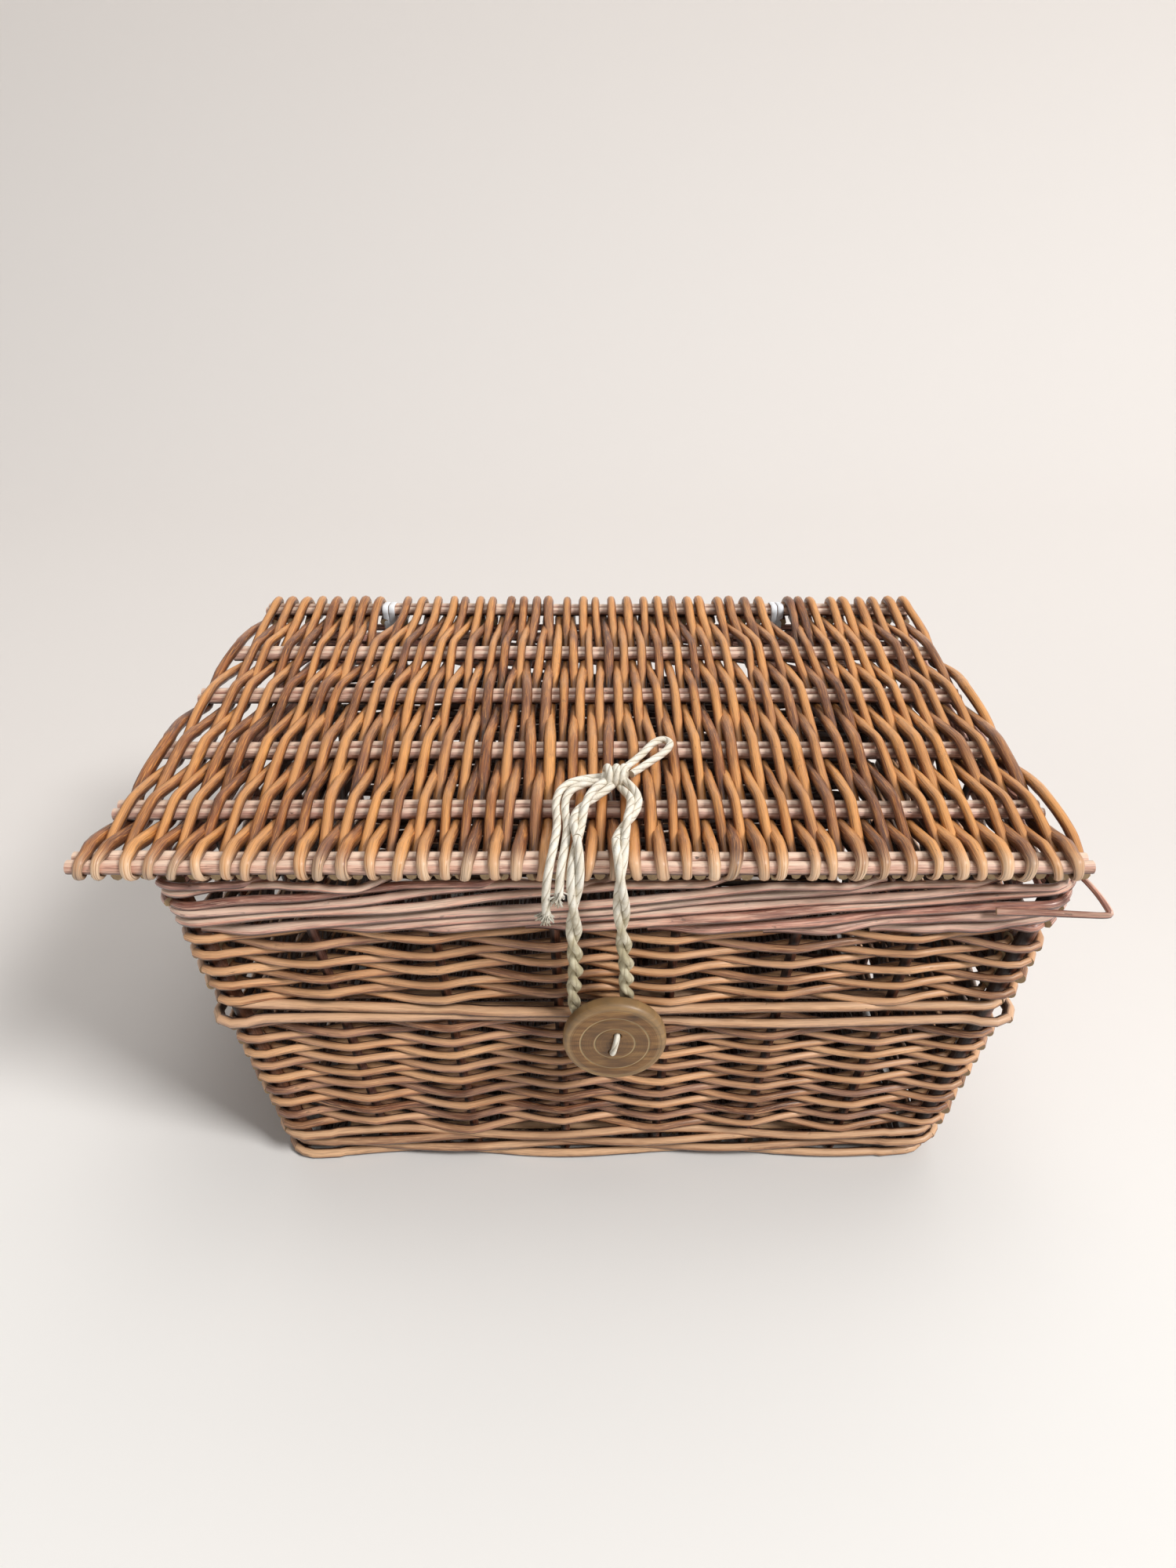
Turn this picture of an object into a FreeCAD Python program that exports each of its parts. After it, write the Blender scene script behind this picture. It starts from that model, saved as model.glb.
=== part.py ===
"""Wicker fishing creel: a tapered willow basket with a flat tied-on lid, a string loop and a wooden button.

Millimetres, +Z up, the front (button side) faces -Y and the length runs along X. The origin is the middle
of the base on the surface that the basket stands on. Every rod is a faceted bar of the rod's real size.
"""

import FreeCAD, Part
import math
import os

from FreeCAD import Vector

# Basket: outside sizes of the woven wall at the floor, and how far each wall leans out by the rim
base_length = 372.0
base_depth = 260.0
basket_height = 214.0
wall_flare = 28.0

# Willow: the sorts of rod and the room left between two rods that only touch
weave_rod_d = 5.2
border_rod_d = 6.0
stake_d = 5.0
corner_post_d = 8.0
touch_gap = 0.3
slant_room = 0.25
bed_gap = 0.1
mitre_gap = 0.2
rod_sides = 6

# Wall: where the stakes stand, the corner's flat, and the heights of the woven bands
long_side_stake_count = 6
short_side_stake_count = 4
corner_flat = 7.0
corner_post_inset = 3.0
stake_foot_height = 1.5
foot_rows = 4
foot_pitch = 6.0
foot_inner_height = 14.0
lower_courses = 17
upper_courses = 9
woven_rod_sides = 4
middle_wale_height = 117.9
middle_wale_pitch = 8.8
border_rows = 5
border_pitch = 7.8

# Base: pairs of thin rods, each pair a flat strip, woven across long sticks
base_stick_d = 3.8
base_stick_count = 5
base_pair_width = 8.0
base_pair_thickness = 3.2
base_pair_count = 39
base_bearing_length = 6.0

# Lid: pairs of sticks across, rods woven over and under them from front to back
lid_length = 450.0
lid_offset_x = -14.0
lid_stick_d = 6.0
lid_stick_spacing = 7.0
lid_stick_overrun = 3.0
lid_stick_sides = 8
lid_front_stick_y = -159.5
lid_rear_stick_y = 159.5
lid_pair_shares = (0.0, 0.143, 0.334, 0.548, 0.750, 1.0)
lid_rod_d = 5.0
lid_rod_passes = 84
lid_rod_sides = 4
lid_rod_rise = 7.0
lid_end_room = 0.4
lid_seat_gap = 0.3

# Hinge ties: two turns of flat white cord round the rear lid sticks and the rear top rod of the border
tie_width = 3.6
tie_thickness = 1.0
tie_turn_gap = 0.4
tie_slot = 8.0
tie_pass_counts = (16, 67)

# Button and its cord
button_d = 50.6
button_thickness = 8.0
button_bevel = 2.4
button_groove_depth = 0.9
button_groove_width = 1.6
button_groove_radii = (16.8, 9.8)
button_sides = 36
button_hole_d = 3.6
button_hole_spacing = 11.0
shank_cord_d = 3.0
shank_knot_d = 8.0
shank_knot_length = 5.0

# String loop: each leg is two strands twisted together
leg_d = 5.4
leg_room = 1.2
tail_d = 3.2
knot_d = 9.0
knot_length = 9.0
knot_y = -103.0
knot_sides = 8
knot_end_share = 0.6
knot_shoulder_share = 0.3
cord_sides = 6
arc_run_share = 0.45
arc_step = math.radians(25)

# Sizes worked out from the ones above
stake_r = stake_d / 2
weave_r = weave_rod_d / 2
border_r = border_rod_d / 2
wall_half = stake_r + touch_gap + weave_rod_d
weave_offset = stake_r + touch_gap + weave_r
border_offset = stake_r + touch_gap + border_r
top_rod_height = basket_height - border_r
middle_wale_heights = (middle_wale_height, middle_wale_height + middle_wale_pitch)
button_height = middle_wale_height + middle_wale_pitch / 2
band_gap = touch_gap / 2
X_AXIS = Vector(1, 0, 0)
Y_AXIS = Vector(0, 1, 0)
Z_AXIS = Vector(0, 0, 1)
SIDES = {
    "front": (X_AXIS, -Y_AXIS),
    "right": (Y_AXIS, X_AXIS),
    "back": (-X_AXIS, Y_AXIS),
    "left": (-Y_AXIS, -X_AXIS),
}
written = {}
os.makedirs("parts", exist_ok=True)


def export(node, solids):
    """Write one node, a single solid or a group of separate solids, to its own file."""
    group = solids if isinstance(solids, list) else [solids]
    for solid in group:
        if not solid.isValid() or solid.Volume <= 0:
            raise ValueError("bad solid in " + node)
    shape = group[0] if len(group) == 1 else Part.makeCompound(group)
    shape.exportStep("parts/" + node + ".step")
    written[node] = group


def closed_solid(faces):
    """Sew planar faces that share their edges into one solid with its skin facing out."""
    solid = Part.Solid(Part.Shell(faces))
    if solid.Volume < 0:
        solid.reverse()
    return solid


def face_through(points):
    """A flat face through points given in order round its edge."""
    return Part.Face(Part.makePolygon(points + points[:1]))


def section_ring(centre, direction, radius, sides, ridge_up=False):
    """The corners of a regular section square to a direction, with a flat side or a ridge at the bottom."""
    up = Z_AXIS if abs(direction.z) < math.cos(math.pi / 4) else Y_AXIS
    across = up.cross(direction).normalize()
    rise = direction.cross(across)
    turn = -math.pi / 2 + (0 if ridge_up else math.pi / sides)
    ring = []
    for i in range(sides):
        angle = turn + 2 * math.pi * i / sides
        ring.append(centre + across * (radius * math.cos(angle)) + rise * (radius * math.sin(angle)))
    return ring


def rod_along(points, diameter, sides=rod_sides, closed=False, ridge_up=False):
    """A faceted rod along straight runs, mitred where two runs meet."""
    count = len(points)
    runs = [(points[(i + 1) % count] - points[i]).normalize() for i in range(count if closed else count - 1)]
    start_normal = (runs[-1] + runs[0]).normalize() if closed else runs[0]
    first = section_ring(points[0], runs[0], diameter / 2, sides, ridge_up)
    rings = [[carried(p, runs[0], points[0], start_normal) for p in first]]
    for i, run in enumerate(runs[:-1] if closed else runs):
        following = runs[i + 1] if i + 1 < len(runs) else run
        normal = (run + following).normalize()
        rings.append([carried(p, run, points[i + 1], normal) for p in rings[-1]])
    if closed:
        rings.append(rings[0])
    faces = []
    for near, far in zip(rings, rings[1:]):
        for i in range(sides):
            j = (i + 1) % sides
            faces.append(face_through([near[i], near[j], far[j], far[i]]))
    if not closed:
        faces.append(face_through(rings[0]))
        faces.append(face_through(rings[-1]))
    return closed_solid(faces)


def turned_solid(stations, axis, sides):
    """A turned body as rings along its axis, each given by its centre and radius."""
    rings = [section_ring(centre, axis, radius, sides) for centre, radius in stations]
    faces = [face_through(rings[0]), face_through(rings[-1])]
    for near, far in zip(rings, rings[1:]):
        for i in range(sides):
            j = (i + 1) % sides
            faces.append(face_through([near[i], near[j], far[j], far[i]]))
    return closed_solid(faces)


def carried(point, run, corner, normal):
    """The point moved along a run until it lies in the plane through the corner."""
    return point + run * ((corner - point).dot(normal) / run.dot(normal))


def stake_plane(side, height):
    """Half the span along a wall and its distance from the middle, to the line of the stakes."""
    lean = wall_flare * height / basket_height
    half_length = base_length / 2 - wall_half + lean
    half_depth = base_depth / 2 - wall_half + lean
    if side in ("front", "back"):
        return half_length, half_depth
    return half_depth, half_length


def on_wall(side, along, out, height):
    """A point of a wall from its distance along the wall, out from the middle and up."""
    along_axis, out_axis = SIDES[side]
    return along_axis * along + out_axis * out + Z_AXIS * height


def wall_rod(side, height, offset, diameter):
    """One rod along the outside of a wall, turned half way round the flat at each corner."""
    span, reach = stake_plane(side, height)
    span += offset
    reach += offset
    middle = corner_flat / 2 + mitre_gap / 2
    return rod_along(
        [
            on_wall(side, -(span - middle), reach - corner_flat + middle, height),
            on_wall(side, -(span - corner_flat), reach, height),
            on_wall(side, span - corner_flat, reach, height),
            on_wall(side, span - middle, reach - corner_flat + middle, height),
        ],
        diameter,
    )


def inner_rod(side, height, diameter):
    """One straight rod along the inside of a wall, between the corner posts."""
    span, reach = stake_plane(side, height)
    end = span - corner_post_inset - corner_post_d / 2 - diameter
    depth = reach - weave_offset
    return rod_along([on_wall(side, -end, depth, height), on_wall(side, end, depth, height)], diameter)


# Stakes and corner posts: the upright rods that everything is woven round
def stake_ends(side, share):
    """Foot and head of a stake at a share of the wall's half length, leaning out with the wall."""
    head_height = top_rod_height - border_r - tie_thickness - 2 * touch_gap
    foot_span, foot_reach = stake_plane(side, stake_foot_height)
    head_span, head_reach = stake_plane(side, head_height)
    return (
        on_wall(side, foot_span * share, foot_reach, stake_foot_height),
        on_wall(side, head_span * share, head_reach, head_height),
    )


def stake_shares(side):
    """Where a wall's stakes stand between its corner posts, as shares of its half length."""
    count = long_side_stake_count if side in ("front", "back") else short_side_stake_count
    return [2 * (i + 1) / (count + 1) - 1 for i in range(count)]


def corner_ends(along_sign, side):
    """Foot and head of a corner post, drawn in from the corner so that rods can turn round it."""
    foot, head = stake_ends(side, along_sign)
    along_axis, out_axis = SIDES[side]
    inward = -(along_axis * (along_sign * corner_post_inset)) - out_axis * corner_post_inset
    return foot + inward, head + inward


corner_places = [(-1, "front"), (1, "front"), (-1, "back"), (1, "back")]
corner_posts = [rod_along(list(corner_ends(sign, side)), corner_post_d) for sign, side in corner_places]
export("corner_posts", corner_posts)
for side in SIDES:
    export(side + "_stakes", [rod_along(list(stake_ends(side, s)), stake_d) for s in stake_shares(side)])


# Woven walls: single rods laid in front of one stake and behind the next, packed on each other in two bands
weave_swing = weave_offset + slant_room
inner_corner = corner_post_inset + (corner_post_d / 2 + touch_gap + weave_r) / math.sqrt(2)


def posts_before(side):
    """How many stakes and corner posts come before a wall, counted round the basket from the front left."""
    walls = list(SIDES)
    return sum(len(stake_shares(other)) + 1 for other in walls[:walls.index(side)])


def corner_points(side, sign, height, outside, next_point):
    """The end of a rod at a corner, from the corner inwards: half way round it outside, or behind its post."""
    span, reach = stake_plane(side, height)
    if outside:
        middle = corner_flat / 2 + mitre_gap / 2
        turn_span = span + weave_swing
        turn_reach = reach + weave_swing
        return [
            on_wall(side, sign * (turn_span - middle), turn_reach - corner_flat + middle, height),
            on_wall(side, sign * (turn_span - corner_flat), turn_reach, height),
        ]
    behind = on_wall(side, sign * (span - inner_corner), reach - inner_corner, height)
    return [behind + (next_point - behind).normalize() * weave_r]


def woven_rod(side, course, height):
    """One rod of a wall: a zigzag whose corners lie in front of one stake and behind the next."""
    span, reach = stake_plane(side, height)
    shares = stake_shares(side)
    turn = posts_before(side) + course
    points = []
    for i, share in enumerate(shares):
        out = weave_swing if (turn + i + 1) % 2 == 0 else -weave_swing
        points.append(on_wall(side, span * share, reach + out, height))
    start = corner_points(side, -1, height, turn % 2 == 0, points[0])
    end = corner_points(side, 1, height, (turn + len(shares) + 1) % 2 == 0, points[-1])
    return rod_along(start + points + end[::-1], weave_rod_d, woven_rod_sides, ridge_up=True)


def woven_band(side, bottom, top, courses):
    """One wall's band from corner to corner, a rod for every course."""
    pitch = (top - bottom) / courses
    return [woven_rod(side, i, bottom + (i + 0.5) * pitch) for i in range(courses)]


foot_heights = [weave_r * math.cos(math.pi / rod_sides) + i * foot_pitch for i in range(foot_rows)]
lower_bottom = foot_heights[-1] + weave_r + band_gap
lower_top = middle_wale_heights[0] - weave_r - band_gap
upper_bottom = middle_wale_heights[1] + weave_r + band_gap
border_heights = [top_rod_height - i * border_pitch for i in range(border_rows)]
upper_top = border_heights[-1] - border_r - band_gap
for side in SIDES:
    export(side + "_lower_weave", woven_band(side, lower_bottom, lower_top, lower_courses))
    export(side + "_upper_weave", woven_band(side, upper_bottom, upper_top, upper_courses))

# Wales and border: long stout rods laid round the stakes at the foot, half way up and at the rim
for side in SIDES:
    foot_wale = [wall_rod(side, height, weave_offset, weave_rod_d) for height in foot_heights]
    foot_wale.append(inner_rod(side, foot_inner_height, weave_rod_d))
    export(side + "_foot_wale", foot_wale)
    middle_wale = []
    for height in middle_wale_heights:
        middle_wale.append(wall_rod(side, height, weave_offset, weave_rod_d))
        middle_wale.append(inner_rod(side, height, weave_rod_d))
    export(side + "_middle_wale", middle_wale)
    rods = [wall_rod(side, height, border_offset, border_rod_d) for height in border_heights]
    if side == "back":
        export("hinge_rod", rods.pop(0))
    export(side + "_border", rods)


# Base: long sticks with flat pairs of rods woven across them, each worn flat where it passes under a stick
base_swing = base_stick_d / 2 + touch_gap + base_pair_thickness / 2 + slant_room
base_level = base_pair_thickness / 2 + base_swing


def base_stick_place(index):
    """How far a long stick of the base lies from the middle; the places before and after all are the walls."""
    return (base_depth / 2 - wall_half) * (2 * (index + 1) / (base_stick_count + 1) - 1)


def base_stick(index):
    """One long stick of the base."""
    end = base_length / 2 - wall_half - stake_r - touch_gap
    y = base_stick_place(index)
    return rod_along([Vector(-end, y, base_level), Vector(end, y, base_level)], base_stick_d)


def base_pair(index):
    """Two thin rods side by side as one flat strip, over one stick and under the next."""
    field = base_length / 2 - wall_half - corner_post_inset - corner_post_d / 2 - touch_gap
    end = base_depth / 2 - wall_half - stake_r - touch_gap
    x = -field + (2 * field - base_pair_width) * index / (base_pair_count - 1)
    low = []
    high = []
    for j in range(-1, base_stick_count + 1):
        y = max(-end, min(end, base_stick_place(j)))
        over = (index + j) % 2 == 0
        z = base_level + (base_swing if over else -base_swing)
        spread = 0 if over or abs(y) == end else base_bearing_length / 2
        for shift in sorted({-spread, spread}):
            low.append(Vector(x, y + shift, z - base_pair_thickness / 2))
        high.append(Vector(x, y, z + base_pair_thickness / 2))
    return face_through(low + high[::-1]).extrude(X_AXIS * base_pair_width)


export("base_weave", [base_pair(i) for i in range(base_pair_count)])
export("base_sticks", [base_stick(i) for i in range(base_stick_count)])

# Lid sticks: six pairs laid across the lid, the first and last of them its front and rear edges
lid_stick_r = lid_stick_d / 2
lid_rod_r = lid_rod_d / 2
lid_height = basket_height + lid_seat_gap + lid_rod_rise + lid_rod_r
front_pair_y = lid_front_stick_y + lid_stick_spacing / 2
rear_pair_y = lid_rear_stick_y - lid_stick_spacing / 2
pair_places = [front_pair_y + (rear_pair_y - front_pair_y) * share for share in lid_pair_shares]
pair_names = ["front", "second", "third", "fourth", "fifth", "rear"]


def lid_stick(y):
    """One straight stick across the whole lid."""
    half = lid_length / 2 + lid_stick_overrun
    ends = [Vector(lid_offset_x - half, y, lid_height), Vector(lid_offset_x + half, y, lid_height)]
    return rod_along(ends, lid_stick_d, lid_stick_sides)


for name, y in zip(pair_names, pair_places):
    half = lid_stick_spacing / 2
    export("lid_" + name + "_sticks", [lid_stick(y - half), lid_stick(y + half)])


# Lid rods: each pass goes over one pair and under the next, and hooks round an edge stick that it is over
def pass_place(index):
    """Where a pass lies along the lid, with a slot left for each hinge tie."""
    slots = sum(1 for before in tie_pass_counts if index >= before)
    room = lid_length - lid_rod_d - len(tie_pass_counts) * tie_slot
    start = lid_offset_x - lid_length / 2 + lid_rod_r
    return start + room * index / (lid_rod_passes - 1) + slots * tie_slot


def edge_hook(x, stick_y, outward):
    """From below the edge stick, round its outer side and over the pair; outward is -1 in front, 1 behind."""
    reach = lid_stick_r + bed_gap + lid_rod_r
    corner = reach * math.tan(math.pi / 6)
    tip = reach / math.cos(math.pi / 6)
    inner = stick_y - outward * (lid_stick_spacing + lid_stick_r)
    return [
        Vector(x, stick_y + outward * corner, lid_height - reach),
        Vector(x, stick_y + outward * tip, lid_height),
        Vector(x, stick_y + outward * corner, lid_height + reach),
        Vector(x, inner, lid_height + reach),
    ]


def under_end(x, stick_y, outward):
    """Where a pass ends below the inner stick of an edge pair."""
    drop = lid_stick_r + bed_gap + lid_rod_r + lid_end_room
    return Vector(x, stick_y - outward * lid_stick_spacing, lid_height - drop)


def lid_pass(index):
    """One rod from front to back: over the front pair when the index is even, under it when it is odd."""
    x = pass_place(index)
    turns = []
    for j in range(1, len(pair_places) - 1):
        rise = lid_rod_rise if (index + j) % 2 == 0 else -lid_rod_rise
        turns.append(Vector(x, pair_places[j], lid_height + rise))
    if index % 2 == 0:
        points = edge_hook(x, lid_front_stick_y, -1) + turns + [under_end(x, lid_rear_stick_y, 1)]
    else:
        points = [under_end(x, lid_front_stick_y, -1)] + turns + edge_hook(x, lid_rear_stick_y, 1)[::-1]
    return rod_along(points, lid_rod_d, lid_rod_sides, ridge_up=True)


export("lid_rods_over_front", [lid_pass(i) for i in range(0, lid_rod_passes, 2)])
export("lid_rods_under_front", [lid_pass(i) for i in range(1, lid_rod_passes, 2)])


# Hinge ties: two turns of twine round the rear pair of sticks and under the hinge rod
def tie_place(tie):
    """The middle of the slot that the lid's rods leave for a tie."""
    before = tie_pass_counts[tie]
    return (pass_place(before - 1) + pass_place(before)) / 2


def tie_outline(x, lift):
    """The tie's line pulled tight over the two sticks, down both sides and round under the hinge rod."""
    stick_reach = lid_stick_r + touch_gap + lift
    rod_reach = border_r + touch_gap + lift
    rod_y = stake_plane("back", top_rod_height)[1] + border_offset
    inner_stick_y = lid_rear_stick_y - lid_stick_spacing
    drop = lid_height - top_rod_height
    front_tangent = math.pi + math.atan2(rod_y - inner_stick_y, drop)
    rear_tangent = -math.atan2(lid_rear_stick_y - rod_y, drop)
    top = math.pi / 2
    outline = arc_corners(lid_rear_stick_y, lid_height, stick_reach, rear_tangent, top, 2)
    outline += arc_corners(inner_stick_y, lid_height, stick_reach, top, front_tangent, 2)
    outline += arc_corners(rod_y, top_rod_height, rod_reach, front_tangent, rear_tangent + 2 * math.pi, 4)
    return [Vector(x, y, z) for y, z in outline]


def arc_corners(y, z, reach, start, end, count):
    """Corners of a faceted turn round a rod from one angle to another, its runs touching the round turn."""
    step = (end - start) / count
    out = reach / math.cos(step / 2)
    angles = [start + (i + 0.5) * step for i in range(count)]
    return [(y + out * math.cos(a), z + out * math.sin(a)) for a in angles]


def tie_turn(x):
    """One closed turn of flat cord, its near edge at x."""
    outer = face_through(tie_outline(x, tie_thickness)).extrude(X_AXIS * tie_width)
    inner = face_through(tie_outline(x, 0)).extrude(X_AXIS * tie_width)
    return outer.cut(inner).Solids[0]


for tie, name in enumerate(("left", "right")):
    near_edges = (tie_place(tie) - tie_turn_gap / 2 - tie_width, tie_place(tie) + tie_turn_gap / 2)
    export("hinge_tie_" + name, [tie_turn(x) for x in near_edges])

# Button: a turned wooden disc with a bevelled rim, two turned grooves and two holes
wall_at_button_top = stake_plane("front", button_height + button_d / 2)[1] + wall_half
button_back = -(wall_at_button_top + leg_d + leg_room)
button_front = button_back - button_thickness
hole_shift = button_hole_spacing / 2


def turned_button():
    """The disc as rings of its turned profile from back to front, drilled for the stitch."""
    r = button_d / 2
    half_groove = button_groove_width / 2
    profile = [(r - button_bevel / 2, button_back), (r, button_back - button_bevel / 2)]
    profile += [(r, button_front + button_bevel), (r - button_bevel, button_front)]
    for groove in button_groove_radii:
        profile += [(groove + half_groove, button_front), (groove, button_front + button_groove_depth)]
        profile += [(groove - half_groove, button_front)]
    stations = [(Vector(0, y, button_height), radius) for radius, y in profile]
    disc = turned_solid(stations, -Y_AXIS, button_sides)
    holes = []
    for sign in (-1, 1):
        z = button_height + sign * hole_shift
        ends = [Vector(0, button_back + button_thickness, z), Vector(0, button_front - button_thickness, z)]
        holes.append(rod_along(ends, button_hole_d))
    return disc.cut(holes).Solids[0]


def front_stitch():
    """The cord through the button: up through one hole, across the front and back through the other."""
    front = button_front - touch_gap - shank_cord_d / 2
    back = button_back - touch_gap
    low = button_height - hole_shift
    high = button_height + hole_shift
    route = [Vector(0, back, low), Vector(0, front, low), Vector(0, front, high), Vector(0, back, high)]
    return rod_along(route, shank_cord_d)


def shank_cord():
    """The cord that holds the button: from its back through the middle wale to a knot inside the basket."""
    wall_inside = stake_plane("front", button_height)[1] - wall_half
    start = Vector(0, button_back + touch_gap, button_height)
    knot_start = Vector(0, -(wall_inside - touch_gap), button_height)
    cord = rod_along([start, knot_start], shank_cord_d)
    knot = rod_along([knot_start, knot_start + Y_AXIS * shank_knot_length], shank_knot_d)
    return cord.fuse(knot).removeSplitter().Solids[0]


export("button", turned_button())
export("button_stitch", front_stitch())
export("button_shank_cord", shank_cord())


# String loop: two legs from the knot over the lid's front edge, down the wall and round the button's shank
def smooth_route(points, name, diameter):
    """Straight runs joined by tangent arcs, each as large as its two runs allow, as points to sweep along."""
    route = [points[0]]
    radii = []
    for before, corner, after in zip(points, points[1:], points[2:]):
        into = corner - before
        out = after - corner
        turn = into.getAngle(out)
        cut = arc_run_share * min(into.Length, out.Length)
        radius = cut / math.tan(turn / 2)
        radii.append(radius)
        first = corner - into.normalize() * cut
        last = corner + out.normalize() * cut
        inward = (first + last) / 2 - corner
        middle = corner + inward.normalize() * (radius / math.cos(turn / 2) - radius)
        steps = max(1, round(turn / arc_step))
        route += Part.Arc(first, middle, last).toShape().discretize(Number=steps + 1)
    route.append(points[-1])
    print(name, "radii", [round(r, 1) for r in radii], "least in diameters", round(min(radii) / diameter, 1))
    return route


def cord_tube(points, diameter, name):
    """A faceted tube along a smooth route; prints its volume against section times length."""
    route = smooth_route(points, name, diameter)
    tube = rod_along(route, diameter, cord_sides)
    length = sum((b - a).Length for a, b in zip(route, route[1:]))
    section = face_through(section_ring(route[0], Z_AXIS, diameter / 2, cord_sides)).Area
    share = tube.Volume / section / length
    print(name, "length", round(length, 1), "volume over section times length", round(share, 3))
    return tube


def string_knot():
    """The knot as one rounded body lying on the lid's rods, with its ends drawn in."""
    z = lid_top + touch_gap + knot_d / 2
    half = knot_length / 2
    shoulder = half * knot_shoulder_share
    stations = [(-half, knot_end_share), (-shoulder, 1), (shoulder, 1), (half, knot_end_share)]
    rings = [(Vector(0, knot_y + along, z), share * knot_d / 2) for along, share in stations]
    return turned_solid(rings, Y_AXIS, knot_sides)


lid_top = lid_height + lid_rod_rise + lid_rod_r
leg_top = lid_top + touch_gap + leg_d / 2
tail_top = lid_top + touch_gap + tail_d / 2
LEFT_LEG_ON_LID = [(-3, -108, 0), (-10, -117, 0), (-16, -129, 0), (-18, -143, 0), (-18, -157, 0)]
RIGHT_LEG_ON_LID = [(3, -108, 0), (9, -118, 0), (8, -131, 0), (3, -144, 0), (1, -157, 0)]
NEAR_TAIL = [
    (-5, -104, 0),
    (-15, -106, 0),
    (-22.5, -114, 0),
    (-24, -128, 0),
    (-22, -144, 0),
    (-23, -160, -0.6),
    (-25, -171.5, -5.5),
    (-25.5, -174, -17),
]
FAR_TAIL = [
    (-5, -100, 0),
    (-16, -101.5, 0),
    (-25.5, -109, 0),
    (-28.5, -124, 0),
    (-26.5, -142, 0),
    (-28, -160, -0.6),
    (-30, -171.5, -5.5),
    (-31.5, -174, -18),
    (-31, -173, -28),
]
END_LOOP = [
    (1.8, -98, 0),
    (6.5, -89, 0),
    (14, -78, 0),
    (19.5, -66, 0),
    (25.5, -60.5, 0),
    (30, -65, 0),
    (26.5, -74.5, 0),
    (17, -86, 0),
    (8, -97.5, 0),
]
HANGING_LEGS = [
    (-18, -157.9, 236.7),
    (-18, -167.8, 234.8),
    (-18.5, -172.6, 225.5),
    (-19, -169.8, 212),
    (-19.5, -163.2, 187),
    (-18.5, -157.4, 164),
    (-20, -152.7, 147),
    (-19.5, -150.8, 131),
    (-15.5, -149.6, 118),
    (-7, -149.2, 110.5),
    (2, -149.3, 111),
    (8, -150.2, 119),
    (8.5, -151.0, 131),
    (5, -152.7, 147),
    (5.5, -157.4, 164),
    (3, -163.2, 187),
    (1.5, -169.8, 212),
    (1, -172.6, 225.5),
    (1, -167.8, 234.8),
    (1, -157.9, 236.7),
]


def on_lid(points, height):
    """Route points given as X, Y and how far above the lid's rods they lie."""
    return [Vector(x, y, height + lift) for x, y, lift in points]


export("string_knot", string_knot())
export("string_left_on_lid", cord_tube(on_lid(LEFT_LEG_ON_LID, leg_top), leg_d, "left leg on the lid"))
export("string_right_on_lid", cord_tube(on_lid(RIGHT_LEG_ON_LID, leg_top), leg_d, "right leg on the lid"))
near_tail = cord_tube(on_lid(NEAR_TAIL, tail_top), tail_d, "near tail")
far_tail = cord_tube(on_lid(FAR_TAIL, tail_top), tail_d, "far tail")
export("string_tails", [near_tail, far_tail])
export("string_end_loop", cord_tube(on_lid(END_LOOP, tail_top), tail_d, "end loop"))
export("string_loop", cord_tube([Vector(*p) for p in HANGING_LEGS], leg_d, "hanging loop"))

print(len(written), "nodes,", sum(len(group) for group in written.values()), "solids")
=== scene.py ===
"""Wicker creel: willow basket, flat lid of open rod work on white ties, string loop and turned button."""

import math
import bpy
import numpy as np
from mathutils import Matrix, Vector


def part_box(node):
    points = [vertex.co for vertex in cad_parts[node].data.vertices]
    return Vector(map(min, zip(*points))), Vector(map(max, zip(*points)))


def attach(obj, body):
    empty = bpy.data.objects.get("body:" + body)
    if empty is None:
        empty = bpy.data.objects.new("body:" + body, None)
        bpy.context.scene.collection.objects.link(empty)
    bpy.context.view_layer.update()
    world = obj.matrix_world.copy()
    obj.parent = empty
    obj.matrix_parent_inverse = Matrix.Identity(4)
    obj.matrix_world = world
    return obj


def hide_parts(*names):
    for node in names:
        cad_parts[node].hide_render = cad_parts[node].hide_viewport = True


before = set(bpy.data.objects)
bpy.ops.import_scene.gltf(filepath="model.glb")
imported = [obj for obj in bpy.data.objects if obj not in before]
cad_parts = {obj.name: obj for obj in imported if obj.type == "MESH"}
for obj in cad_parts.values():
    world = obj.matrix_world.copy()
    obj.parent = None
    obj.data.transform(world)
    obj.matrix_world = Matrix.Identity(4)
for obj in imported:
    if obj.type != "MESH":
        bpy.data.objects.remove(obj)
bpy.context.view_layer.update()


# The wall's uprights: thick corner posts and thinner stakes of reddish willow, set into the base and
# leaning out towards the rim. Everything else in the walls is woven round them.
FLOOR_LENGTH = 0.372
FLOOR_DEPTH = 0.260
RIM_HEIGHT = 0.214
LEAN = 0.028 / RIM_HEIGHT
WALL_HALF = 0.008
STAKE_RADIUS = 0.0025
POST_RADIUS = 0.004
POST_INSET = 0.003
STAKE_FOOT = 0.0015
STAKE_HEAD = 0.2064
CORNER_TURN = 0.010
STAKES = {"front": 6, "right": 4, "back": 6, "left": 4}
SIDES = ("front", "right", "back", "left")
ALONG = {"front": (1, 0), "right": (0, 1), "back": (-1, 0), "left": (0, -1)}
OUTWARD = {"front": (0, -1), "right": (1, 0), "back": (0, 1), "left": (-1, 0)}


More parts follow.
